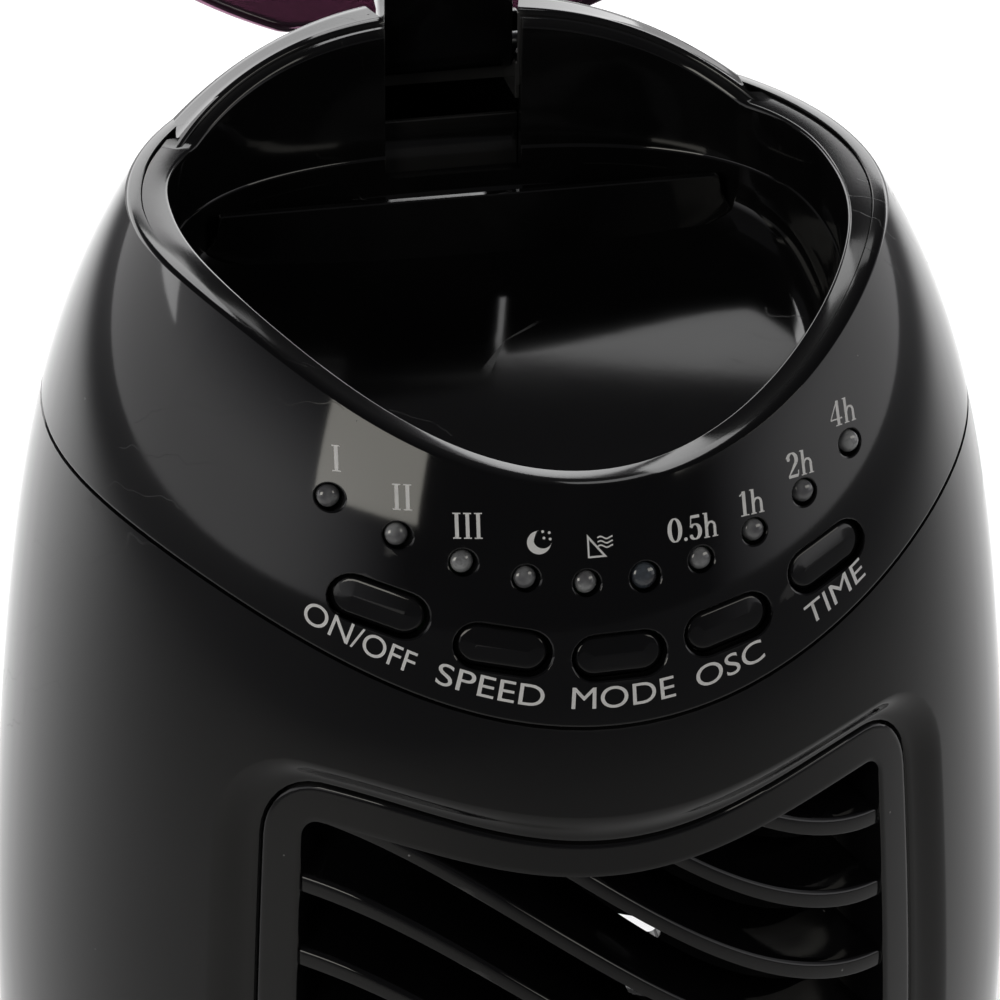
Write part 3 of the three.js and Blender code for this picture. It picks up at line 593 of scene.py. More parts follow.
def make_finishes():
    return {
        "gloss_black": polished_plastic("gloss_black_shell", (0.0026, 0.0026, 0.003, 1),
                                        (0.0042, 0.0041, 0.0047, 1), 0.045),
        "tray_black": polished_plastic("tray_black_plastic", (0.0035, 0.0035, 0.0038, 1),
                                       (0.0065, 0.0065, 0.0068, 1), 0.055),
        "cap_black": polished_plastic("button_cap_plastic", (0.004, 0.004, 0.0045, 1),
                                      (0.006, 0.006, 0.0066, 1), 0.07, 0.3),
        "satin_black": satin_plastic("satin_black_plastic", grey(0.012), grey(0.02)),
        "drum_grey": satin_plastic("drum_grey_plastic", grey(0.02), grey(0.032), 600),
        "screw_steel": bright_metal("screw_steel", (0.55, 0.56, 0.57, 1), 0.28, (1, 1, 6)),
        "motor_tin": bright_metal("motor_tin", (0.6, 0.61, 0.62, 1), 0.34, (6, 6, 1)),
        "bronze": bright_metal("bearing_bronze", (0.48, 0.33, 0.14, 1), 0.38, (1, 1, 4)),
        "ballast_iron": cast_iron("ballast_iron"),
        "rubber_black": moulded_rubber("rubber_black"),
        "board_green": circuit_board("board_green"),
        "frosted_lens": lamp_lens("frosted_lens", (0.34, 0.35, 0.36, 1), (0.12, 0.12, 0.13, 1), 0.08),
        "sensor_lens": lamp_lens("sensor_lens", (0.075, 0.09, 0.11, 1), (0.03, 0.03, 0.036, 1), 0.1),
        "smoked_plum": smoked_plum("smoked_plum"),
        "ink": printed_white("printed_white"),
    }


# ------------------------------------------------------------------ outlines round the outlet
TOP_STEPS, SIDE_STEPS, CORNER_STEPS = 72, 90, 8


def framed_loop(side, top, bottom, corner):
    """Closed loop of (angle, height): bottom left, up the left side, along the top and back down."""
    reach, foot = side * FLANK - corner, bottom + corner
    arc = spread(0, math.pi / 2, CORNER_STEPS)[:-1]
    loop = [(-side, z) for z in spread(foot, top(-side) - corner, SIDE_STEPS)[:-1]]
    for t in arc:
        angle = (-reach - corner * math.cos(t)) / FLANK
        loop.append((angle, top(angle) - corner + corner * math.sin(t)))
    loop += [(s / FLANK, top(s / FLANK)) for s in spread(-reach, reach, TOP_STEPS)[:-1]]
    for t in arc:
        angle = (reach + corner * math.sin(t)) / FLANK
        loop.append((angle, top(angle) - corner + corner * math.cos(t)))
    loop += [(side, z) for z in spread(top(side) - corner, foot, SIDE_STEPS)[:-1]]
    loop += [((reach + corner * math.cos(t)) / FLANK, foot - corner * math.sin(t)) for t in arc]
    loop += [(s / FLANK, bottom) for s in spread(reach, -reach, TOP_STEPS)[:-1]]
    loop += [((-reach - corner * math.sin(t)) / FLANK, foot - corner * math.cos(t)) for t in arc]
    return loop


def raised(curve, lift):
    return lambda angle: curve(angle) + lift


def outlet_loop(shrink=0.0):
    return framed_loop(OUTLET_SIDE - shrink / FLANK, raised(outlet_top, -shrink),
                       OUTLET_BOTTOM + shrink, 10.5 - shrink)


def window_loop(grow=0.0):
    return framed_loop(WINDOW_SIDE + grow / FLANK, raised(window_top, grow),
                       WINDOW_BOTTOM - grow, 3 + grow)


def placed(loop, depth):
    return [on_body(angle, z, depth) for angle, z in loop]


def between(first, second, t):
    return [(blend_values(a[0], b[0], t), blend_values(a[1], b[1], t)) for a, b in zip(first, second)]


# ------------------------------------------------------------------ body shells
def make_front_shell():
    opening = outlet_loop()
    hollow = framed_loop(HOLLOW_SIDE, hollow_top, OUTLET_BOTTOM - 8.5, 16)
    side = SEAM_SIDE - GAP / 2 / FLANK
    edge = framed_loop(side, raised(seam_height, -GAP), BODY_BOTTOM, 0.8)
    loops = [placed(opening, RECESS + SHELL), placed(opening, RECESS + 0.5)]
    loops.append(placed(between(opening, hollow, 0.03), RECESS + 0.12))
    for t in spread(0.09, 1, 14):
        loops.append(placed(between(opening, hollow, t), RECESS * (1 + math.cos(math.pi * t)) / 2))
    for t in spread(0, 1, 22)[1:-1]:
        loops.append(placed(between(hollow, edge, t), 0))
    loops.append(placed(between(hollow, edge, 0.996), 0.02))
    loops.append(placed(edge, 0.3))
    loops.append(placed(edge, SHELL))
    for t in (0.75, 0.5, 0.25, 0.08):
        loops.append(placed(between(hollow, edge, t), SHELL))
    loops.append(placed(hollow, SHELL + 0.4))
    return follow_form(torus_grid("front_shell_moulding", loops))


def make_outlet_border():
    window = window_loop()
    loops = [placed(outlet_loop(GAP), RECESS + 3), placed(outlet_loop(GAP), RECESS + 0.45),
             placed(outlet_loop(GAP + 0.12), RECESS + 0.14), placed(outlet_loop(GAP + 0.4), RECESS)]
    for t in spread(0.1, 0.9, 6):
        loops.append(placed(between(outlet_loop(GAP + 0.4), window_loop(0.5), t), RECESS))
    loops += [placed(window_loop(0.5), RECESS), placed(window_loop(0.16), RECESS + 0.12),
              placed(window, RECESS + 0.5), placed(window, 8), placed(window, 14),
              placed(window_loop(1.6), 14), placed(window_loop(1.6), RECESS + 3)]
    return crease(torus_grid("outlet_border", loops), 38)


def window_block():
    """The space of the slot window, as a closed block for trimming the ribs."""
    margin, corner = 0.7, 3.7
    reach = WINDOW_SIDE + margin / FLANK
    rows = spread(0, 1, 60)

    def corner_drop(angle):
        past = abs(angle) * FLANK - (WINDOW_SIDE * FLANK + margin - corner)
        return 0 if past <= 0 else corner - math.sqrt(max(0.0, corner ** 2 - past ** 2))

    angles = spread(-reach, reach, 40)
    sheets = []
    for depth in (0.9, 14.4):
        sheet = []
        for angle in angles:
            low = WINDOW_BOTTOM - margin + corner_drop(angle)
            high = window_top(angle) + margin - corner_drop(angle)
            sheet.append([on_body(angle, blend_values(low, high, t), depth) for t in rows])
        sheets.append(sheet)
    sections = [front + back[::-1] for front, back in zip(*sheets)]
    count = len(sections[0])
    faces = skin(len(sections), count)
    for start in (0, (len(sections) - 1) * count):
        for k in range(len(rows) - 1):
            faces.append((start + k, start + k + 1, start + count - 2 - k, start + count - 1 - k))
    return tidy_mesh(mesh_piece("window_block", flattened(sections), faces))


def radius_field(z):
    """The body's radius at a height field, both in millimetres."""
    t = (z - 606) / 100
    low = 85 - 13 * ((606 - z) / 560) ** 2
    high = 85 * (1 - 0.229 * t ** 2 + 0.264 * t ** 2 * t - 0.158 * (t ** 2) ** 2)
    upper = z.above(606)
    return low * (1 - upper) + high * upper


def geometry_nodes(name, sizes):
    """A new geometry tree with one named input for each size."""
    tree = bpy.data.node_groups.new(name, "GeometryNodeTree")
    tree.interface.new_socket(name="Geometry", in_out="INPUT", socket_type="NodeSocketGeometry")
    tree.interface.new_socket(name="Geometry", in_out="OUTPUT", socket_type="NodeSocketGeometry")
    identifiers = {}
    for size, value in sizes.items():
        kind = "NodeSocketInt" if isinstance(value, int) else "NodeSocketFloat"
        item = tree.interface.new_socket(name=size, in_out="INPUT", socket_type=kind)
        identifiers[size] = item.identifier
    nodes = Nodes(tree)
    entry = nodes.add("NodeGroupInput")
    return tree, nodes, entry, identifiers


def grow(piece, tree, identifiers, sizes):
    """Runs a geometry tree on a piece and keeps the result as a plain mesh."""
    modifier = piece.modifiers.new("grow", "NODES")
    modifier.node_group = tree
    for size, value in sizes.items():
        modifier[identifiers[size]] = value
    return baked(piece, piece.name)


def end_tree(nodes, geometry, material):
    """Every tree ends the same way: real meshes with their material."""
    real = nodes.add("GeometryNodeRealizeInstances", None, {"Geometry": geometry})
    coated = nodes.add("GeometryNodeSetMaterial", None, {"Geometry": real, "Material": material})
    nodes.add("NodeGroupOutput", None, {"Geometry": coated})


def make_outlet_ribs(material):
    """Planks that wave across the window and climb towards the drum, trimmed to its outline."""
    sizes = {"Ribs": 50, "Lowest": WINDOW_BOTTOM - 20.0, "Pitch": 12.6, "Wave": 25.0, "Wave rate": 2.37,
             "Side angle": WINDOW_SIDE + 0.02, "Front depth": 2.9, "Plank depth": 11.3,
             "Climb": 5.2, "Half thickness": 1.5}
    tree, nodes, entry, names = geometry_nodes("outlet_ribs", sizes)
    line = nodes.add("GeometryNodeMeshLine", {"mode": "OFFSET"}, {
        "Count": entry.output("Ribs"),
        "Start Location": nodes.add("ShaderNodeCombineXYZ", None, {2: entry.output("Lowest")}),
        "Offset": nodes.add("ShaderNodeCombineXYZ", None, {2: entry.output("Pitch")})})
    bar = nodes.add("GeometryNodeMeshCylinder", {"fill_type": "NGON"}, {
        "Vertices": 36, "Side Segments": 44, "Radius": 1.0, "Depth": 2.0})
    copies = nodes.add("GeometryNodeInstanceOnPoints", None, {"Points": line, "Instance": bar})
    place = nodes.add("GeometryNodeInputPosition")
    level_of_copy = nodes.add("ShaderNodeSeparateXYZ", None, {0: place}, out=2)
    marked = nodes.add("GeometryNodeStoreNamedAttribute",
                       {"data_type": "FLOAT", "domain": "INSTANCE"},
                       {"Geometry": copies, "Name": "level", "Value": level_of_copy})
    real = nodes.add("GeometryNodeRealizeInstances", None, {"Geometry": marked})
    level = nodes.add("GeometryNodeInputNamedAttribute", {"data_type": "FLOAT"}, {"Name": "level"})
    split = nodes.add("ShaderNodeSeparateXYZ", None, {0: place})
    across, height, along = split, split.output("Y"), split.output("Z") - level

    def signed_power(value, power):
        return value.maths("SIGN", value) * value.maths("ABSOLUTE", value) ** power

    inward = signed_power(across, 0.15) * 0.5 + 0.5
    angle = along * entry.output("Side angle")
    wave = entry.output("Wave") * angle.maths("SINE", angle * entry.output("Wave rate"))
    z = level - wave + entry.output("Climb") * inward
    z = z + signed_power(height, 0.24) * entry.output("Half thickness") * (1 - inward * 0.45)
    depth = entry.output("Front depth") + entry.output("Plank depth") * inward
    radius = radius_field(z.maths("MINIMUM", z, HEAD + 5)) - depth
    x = radius * angle.maths("SINE", angle) * MM
    y = radius * angle.maths("COSINE", angle) * -MM
    spot = nodes.add("ShaderNodeCombineXYZ", None, {0: x, 1: y, 2: z * MM})
    shaped = nodes.add("GeometryNodeSetPosition", None, {"Geometry": real, "Position": spot})
    trimmed = nodes.add("GeometryNodeMeshBoolean", {"operation": "INTERSECT", "solver": "MANIFOLD"},
                        {"Mesh 2": [shaped, entry.output("Geometry")]})
    end_tree(nodes, trimmed, material)
    ribs = grow(window_block(), tree, names, sizes)
    ribs.name = "outlet_ribs"
    level_store = ribs.data.attributes.get("level")
    if level_store:
        ribs.data.attributes.remove(level_store)
    for polygon in ribs.data.polygons:
        polygon.use_smooth = True
    return crease(ribs, 40)


def body_wall(name, start, end, columns, rows, top, bottom=BODY_BOTTOM):
    """A closed shell wall between two side angles."""
    angles = spread(start, end, columns)
    edge = 0.35
    sheets = []
    for depth, trim in ((0, edge), (0.3, 0), (SHELL, 0)):
        sheet = []
        for i, angle in enumerate(angles):
            turn = angle + {0: trim, columns: -trim}.get(i, 0) / FLANK
            high, low = top(turn) - trim, bottom + trim
            heights = [blend_values(low, high, t) for t in spread(0, 1, rows)]
            sheet.append([on_body(turn, z, depth) for z in heights])
        sheets.append(sheet)

    def section(outer, lip, inner):
        return [lip[0]] + outer + [lip[-1]] + inner[::-1]

    sections = [section(*walls) for walls in zip(*sheets)]
    first, last = [section(sheets[1][i], sheets[1][i], sheets[2][i]) for i in (0, -1)]
    sections = [first] + sections + [last]
    count = len(first)
    faces = skin(len(sections), count)
    for start_at in (0, (len(sections) - 1) * count):
        for k in range(rows):
            faces.append((start_at + 1 + k, start_at + 2 + k,
                          start_at + count - 2 - k, start_at + count - 1 - k))
    return tidy_mesh(mesh_piece(name, flattened(sections), faces))


def make_rear_shell(material):
    """Rear shell with two banks of intake slots."""
    sizes = {"Slots": 30, "Lowest": 176.0, "Pitch": 13.0, "Slot height": 4.6,
             "Slot length": 44.0, "Bank offset": 25.0}
    tree, nodes, entry, names = geometry_nodes("intake_slots", sizes)
    banks = []
    for side in (-1, 1):
        start = nodes.add("ShaderNodeCombineXYZ", None, {
            0: entry.output("Bank offset") * (side * MM), 1: 0.07, 2: entry.output("Lowest") * MM})
        step = nodes.add("ShaderNodeCombineXYZ", None, {2: entry.output("Pitch") * MM})
        banks.append(nodes.add("GeometryNodeMeshLine", {"mode": "OFFSET"}, {
            "Count": entry.output("Slots"), "Start Location": start, "Offset": step}))
    points = nodes.add("GeometryNodeJoinGeometry", None, {"Geometry": banks})
    pill = nodes.add("GeometryNodeMeshCylinder", {"fill_type": "NGON"}, {
        "Vertices": 24, "Side Segments": 1, "Radius": 0.5, "Depth": 0.07})
    place = nodes.add("GeometryNodeInputPosition")
    parts = nodes.add("ShaderNodeSeparateXYZ", None, {0: place})
    half_run = (entry.output("Slot length") - entry.output("Slot height")) * (0.5 * MM)
    x = parts * entry.output("Slot height") * MM + parts.maths("SIGN", parts) * half_run
    z = parts.output("Y") * entry.output("Slot height") * MM
    spot = nodes.add("ShaderNodeCombineXYZ", None, {0: x, 1: parts.output("Z"), 2: z})
    cutter = nodes.add("GeometryNodeSetPosition", None, {"Geometry": pill, "Position": spot})
    cutter = nodes.add("GeometryNodeFlipFaces", None, {"Mesh": cutter})
    copies = nodes.add("GeometryNodeInstanceOnPoints", None, {"Points": points, "Instance": cutter})
    real = nodes.add("GeometryNodeRealizeInstances", None, {"Geometry": copies})
    slotted = nodes.add("GeometryNodeMeshBoolean", {"operation": "DIFFERENCE", "solver": "MANIFOLD"},
                        {"Mesh 1": entry.output("Geometry"), "Mesh 2": real})
    end_tree(nodes, slotted, material)
    side = SEAM_SIDE + GAP / 2 / FLANK
    shell = body_wall("rear_shell_moulding", side, 2 * math.pi - side, 110, 90,
                      raised(seam_height, -GAP))
    shell = grow(shell, tree, names, sizes)
    for polygon in shell.data.polygons:
        polygon.use_smooth = True
    return follow_form(shell)


# ------------------------------------------------------------------ control panel
PRESS = Vector((0, -math.cos(PRESS_TILT), math.sin(PRESS_TILT)))
PANEL_UP = Vector((0, math.sin(PRESS_TILT), math.cos(PRESS_TILT)))
LAMP_PITCH, BUTTON_PITCH = 8.87, 17.2
BUTTON_LENGTH, BUTTON_HEIGHT = 14.5, 7.2
CAP_RECESS, CAP_FOOT = 1.1, 3.8      # how deep a cap's face and its foot lie
SWITCH_ROOM = 6.2                    # kept free over the board for a switch and its travel
RECEIVER = 5
LAMPS = ["led_speed_1", "led_speed_2", "led_speed_3", "led_sleep", "led_breeze", "remote_receiver",
         "led_half_hour", "led_one_hour", "led_two_hours", "led_four_hours"]
BUTTONS = ["power", "speed", "mode", "swing", "timer"]


def on_row(row, x):
    """The point of a row on the panel at a distance to the right of the middle."""
    angle = 0.0
    for _ in range(20):
        angle = math.asin(x / body_radius(row(angle)))
    return Vector(on_body(angle, row(angle)))


def row_slope(row, x):
    return math.atan2(on_row(row, x + 1).z - on_row(row, x - 1).z, 2)


LAMP_PLACES = [on_row(lamp_row, 0.45 + LAMP_PITCH * (i - 4.5)) for i in range(10)]
BUTTON_XS = [0.6 + BUTTON_PITCH * i for i in range(-2, 3)]
BUTTON_PLACES = [on_row(button_row, x) for x in BUTTON_XS]
BUTTON_SPINS = [row_slope(button_row, x) for x in BUTTON_XS]
BOARD_ORIGIN = on_row(button_row, 0) - PRESS * 19


def panel_point(place, u, v, depth=0.0):
    """The point of the body in front of panel coordinates (u, v), sunk along the press line."""
    flat = place + Vector((u, 0, 0)) + PANEL_UP * v
    t = 0.0
    for _ in range(12):
        p = flat + PRESS * t
        miss = math.hypot(p.x, p.y) - body_radius(p.z)
        q = p + PRESS * 0.01
        slope = (math.hypot(q.x, q.y) - body_radius(q.z) - miss) / 0.01
        t -= miss / slope
    return tuple(flat + PRESS * (t - depth))


def straight_in(place, u, v, depth):
    """The point at panel coordinates (u, v) round a place, sunk along the press line."""
    return tuple(place + Vector((u, 0, 0)) + PANEL_UP * v - PRESS * depth)


def pill_outline(length, height, spin, steps=12):
    """Stadium outline in panel coordinates, turned by spin."""
    half, r = (length - height) / 2, height / 2
    points = []
    for side in (1, -1):
        for t in spread(-math.pi / 2, math.pi / 2, steps):
            points.append((side * (half + r * math.cos(t)), side * r * math.sin(t)))
    c, s = math.cos(spin), math.sin(spin)
    return [(u * c - v * s, u * s + v * c) for u, v in points]


def disc_outline(radius, steps=32):
    return [(radius * math.cos(a), radius * math.sin(a)) for a in spread(0, 2 * math.pi, steps)[:-1]]


# A hole's depths and how much wider it is there, which gives it a small chamfer.
HOLE_STEPS = [(-1.5, 0.24), (0.02, 0.24), (0.11, 0.1), (0.26, 0.0), (9, 0.0)]


def hole_cutter(place, outline_at):
    sections = []
    for depth, wider in HOLE_STEPS:
        sections.append([panel_point(place, u, v, depth) for u, v in outline_at(wider)])
    return capped_grid("hole_cutter", sections)


def make_head_shell():
    """The band with its lamp and button holes. The section is (depth, way up, extra height)."""
    edge = 0.45
    section = [(SHELL, 0, 0.0), (0.4, 0, 0.0), (0.1, 0, 0.1), (0.0, 0, 0.4)]
    section += [(0.0, t, 0.0) for t in spread(0.04, 0.96, 22)]
    section += [(0.0, 1, -edge), (0.13, 1, -0.13), (edge, 1, 0.0), (SHELL - 0.3, 1, 0.0),
                (SHELL, 1, -0.3)]
    section += [(SHELL, t, 0.0) for t in (0.75, 0.5, 0.25)]
    loops = []
    for angle in spread(0, 2 * math.pi, 288)[:-1]:
        low, high = seam_height(angle), rim_height(angle)
        loops.append([on_body(angle, blend_values(low, high, t) + lift, depth)
                      for depth, t, lift in section])
    shell = torus_grid("head_shell_moulding", loops)
    cutters = []
    for i, place in enumerate(LAMP_PLACES):
        radius = 2.4 if i == RECEIVER else 2.08
        cutters.append(hole_cutter(place, lambda wider, r=radius: disc_outline(r + wider)))
    for place, spin in zip(BUTTON_PLACES, BUTTON_SPINS):
        cutters.append(hole_cutter(place, lambda wider, s=spin: pill_outline(
            BUTTON_LENGTH + 2 * wider, BUTTON_HEIGHT + 2 * wider, s)))
    shell = carve(shell, merged("holes", cutters))
    return follow_form(shell, 12)


def make_button(index):
    """A cap that follows the panel, sunk a little, with a soft edge and its stem."""
    place, spin = BUTTON_PLACES[index], BUTTON_SPINS[index]
    name = BUTTONS[index]
    length, height = BUTTON_LENGTH - 0.9, BUTTON_HEIGHT - 0.9
    bend = 0.85
    steps = [(CAP_FOOT, 0.0), (2.2, 0.0)]
    steps += [(CAP_RECESS + bend * (1 - math.sin(t)), bend * (1 - math.cos(t)))
              for t in spread(0, math.pi / 2, 7)]
    steps += [(CAP_RECESS - 0.10 * t, bend + 2.25 * t) for t in (0.2, 0.45, 0.7, 0.9, 1.0)]
    sections = []
    for depth, inset in steps:
        outline = pill_outline(length - 2 * inset, height - 2 * inset, spin)
        sections.append([panel_point(place, u, v, depth) for u, v in outline])
    cap = crease(capped_grid("button_cap", sections), 50)
    reach = max((place - Vector(corner) / MM).dot(PRESS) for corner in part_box(f"button_{name}"))
    ahead = (place - BOARD_ORIGIN).dot(PRESS)
    stem_end = max(CAP_FOOT + 0.1, min(reach, ahead - SWITCH_ROOM))
    stem = capped_grid("stem", [[straight_in(place, u, v, depth) for u, v in disc_outline(1.6, 20)]
                                for depth in (3.4, stem_end)])
    return merged(f"button_cap_{name}", [cap, stem])


def make_lamp(index):
    """A domed lens with a collar, set back in its hole."""
    place = LAMP_PLACES[index]
    radius = 2.05 if index == RECEIVER else 1.74
    back = min(6.6, (place - BOARD_ORIGIN).dot(PRESS) - 0.5)
    steps = [(back, radius + 0.22), (back - 0.9, radius + 0.22), (back - 1.0, radius)]
    steps += [(1.35 - 0.9 * math.sin(t), radius * math.cos(t))
              for t in spread(0, math.radians(86), 9)]
    sections = [[straight_in(place, u, v, depth) for u, v in disc_outline(r, 28)]
                for depth, r in steps]
    return crease(capped_grid("lens_" + LAMPS[index], sections), 60)


# ------------------------------------------------------------------ legends
INK_DEPTH = -0.03            # the ink stands this far proud of the panel


def flat_text(words, height):
    """Plain capitals as flat triangles, in millimetres, on a base line and centred across."""
    curve = bpy.data.curves.new("legend", "FONT")
    curve.body = words
    curve.align_x = "CENTER"
    curve.resolution_u = 6
    writing = bpy.data.objects.new("legend", curve)
    bpy.context.scene.collection.objects.link(writing)
    made = baked(writing, "legend")
    bm = bmesh.new()
    bm.from_mesh(made.data)
    bmesh.ops.triangulate(bm, faces=bm.faces)
    bm.verts.index_update()
    scale = height / 0.729
    points = [(v.co.x * scale, v.co.y * scale) for v in bm.verts]
    faces = [tuple(v.index for v in face.verts) for face in bm.faces]
    bm.free()
    bpy.data.objects.remove(made)
    return points, faces


def lay_on_panel(points, faces, place, spin, shift_up):
    """Prints a flat drawing on the panel as a thin skin of ink."""
    c, s = math.cos(spin), math.sin(spin)
    made = []
    for u, v in points:
        v += shift_up
        made.append(panel_point(place, u * c - v * s, u * s + v * c, INK_DEPTH))
    return mesh_piece("print", made, faces)


# ------------------------------------------------------------------ tray
WALL_BACK, WALL_SIDE, WALL_FRONT = 42.0, 54.5, 64.2
TRAY_WALL = 2.2
DIVIDER_Y = 25.0
DIVIDER_TOP = HEAD + 48.8
POCKET_FLOOR, POCKET_BACK = HEAD + 20, 38.4


def tray_plan(angle):
    """Outer radius of the tray: an ellipse in front and a squarer curve at the back."""
    s, c = math.sin(angle), -math.cos(angle)
    if c > 0:
        return 1 / ((abs(s) / WALL_SIDE) ** 2.5 + (c / WALL_BACK) ** 2.5) ** 0.4
    return 1 / math.sqrt((s / WALL_SIDE) ** 2 + (c / WALL_FRONT) ** 2)


def tray_floor(x, y):
    t = min(1.0, max(0.0, (y + 48) / 100))
    return HEAD + 30.6 + 13 * t ** 1.6 + 3.0 * (abs(x) / 50) ** 2.2


def tray_edge(angle):
    """Height of the tray's lip."""
    r = tray_plan(angle)
    lip = rim_height(angle) - 0.55
    if -math.cos(angle) > 0.3:
        lip = max(lip, arch_height(r * math.sin(angle)) - 0.7)
    return lip


def make_tray_bowl():
    """Bowl with a scooped floor, an upright wall with a crease line, and a rounded lip."""
    corner = 6.5

    def section(angle):
        """Points from the bowl's middle up its wall, over the lip and back under the floor."""
        s, c = math.sin(angle), -math.cos(angle)
        plan, edge = tray_plan(angle), tray_edge(angle)

        def floor_point(fraction):
            reach = (plan - TRAY_WALL - corner) * fraction
            return reach * s, reach * c, tray_floor(reach * s, reach * c)

        def wall_point(inset, z):
            r = plan - TRAY_WALL + inset
            return r * s, r * c, z

        base = floor_point(1.0)[2]
        foot = base + corner * 0.9
        ledge = max(min(HEAD + 50, edge - 3), foot + 0.3)
        made = [floor_point(f) for f in (0.004, 0.12, 0.25, 0.4, 0.55, 0.7, 0.82, 0.92, 1.0)]
        for turn in [t * math.pi / 2 for t in spread(0, 1, 8)[1:]]:
            z = base + corner * 0.9 * (1 - math.cos(turn))
            made.append(wall_point(corner * (math.sin(turn) - 1), z))
        made += [wall_point(0.0, blend_values(foot, ledge, t)) for t in (0.4, 0.75, 1.0)]
        made += [wall_point(0.25, ledge + 0.25), wall_point(0.32, ledge + 0.6)]
        made += [wall_point(0.32, blend_values(ledge + 0.6, edge - 0.5, t)) for t in (0.35, 0.7, 0.94)]
        made += [wall_point(0.4, edge - 0.35), wall_point(0.7, edge - 0.06), wall_point(1.1, edge)]
        reach = egg_radius(edge) - SHELL - 0.35
        if c > 0.3 and arch_height(plan * s) - 0.7 > rim_height(angle):
            reach = min(reach, plan)
        reach = max(reach, plan - 0.6)
        made += [(reach * s, reach * c, edge - drop) for drop in (0.0, 0.25, 1.6)]
        made += [wall_point(TRAY_WALL, edge - 1.9), wall_point(TRAY_WALL, base + 2)]
        for x, y, z in [floor_point(f) for f in (1.0, 0.6, 0.004)]:
            made.append((x * 1.03, y * 1.03, z - TRAY_WALL))
        return made

    loops = [section(angle) for angle in spread(0, 2 * math.pi, 240)[:-1]]
    rows, count = len(loops), len(loops[0])
    faces = skin_round(rows, count)
    faces.append(tuple(i * count for i in range(rows)))
    faces.append(tuple(i * count + count - 1 for i in reversed(range(rows))))
    bowl = tidy_mesh(mesh_piece("tray_bowl", flattened(loops), faces))

    pocket = [(-39, DIVIDER_Y + 1.6), (39, DIVIDER_Y + 1.6), (36.5, 33.4), (24, POCKET_BACK),
              (-24, POCKET_BACK), (-36.5, 33.4)]
    outline = rounded(pocket, 2.5)
    opening = capped_grid("opening", [[(x, y, z) for x, y in outline] for z in (HEAD + 26, HEAD + 47)])
    well = block("well", (-HINGE_HALF - 0.7, 35, HEAD + 46.5), (HINGE_HALF + 0.7, 50, HEAD + 86))
    return crease(carve(bowl, opening, well), 42), outline


def make_pocket(outline):
    """The remote control's pocket below the bowl's floor: up inside, over its edge and back down."""
    middle = 32.0

    def grown(amount, z):
        return [(x + math.copysign(amount, x), y + math.copysign(amount, y - middle), z)
                for x, y in outline]

    steps = [(-1.6, POCKET_FLOOR), (-0.5, POCKET_FLOOR + 2), (-0.3, HEAD + 39.8), (0.02, HEAD + 40.5),
             (1.3, HEAD + 38), (1.3, POCKET_FLOOR), (0.3, POCKET_FLOOR - 1.6)]
    return crease(capped_grid("remote_pocket", [grown(*step) for step in steps]), 50)


def make_divider():
    """The bar that stands across the tray, wider at its foot."""
    top, foot = DIVIDER_TOP, HEAD + 37
    outline = rounded([(-41.7, top), (41.7, top), (42.4, top - 4), (47, top - 9.2), (47, foot),
                       (-47, foot), (-47, top - 9.2), (-42.4, top - 4)], 0.8)
    return soften(upright_plate("tray_divider", outline, DIVIDER_Y, DIVIDER_Y + 1.6), 0.3)


def make_well_back():
    """The recessed panel under the hinge, between two rounded edges."""
    half = HINGE_HALF + 0.9
    outline = [(43.0, HEAD + 22), (43.0, HEAD + 50), (43.25, HEAD + 50.5), (43.25, HEAD + 55),
               (44.4, HEAD + 55), (44.4, HEAD + 22)]
    return soften(side_plate("hinge_well_back", outline, half), 0.25, 2)


def crescent_top(x):
    """The arch, which runs on below the rim at its ends."""
    return HEAD + 62 + 12 * (1 - abs(x / 47) ** 2.6)


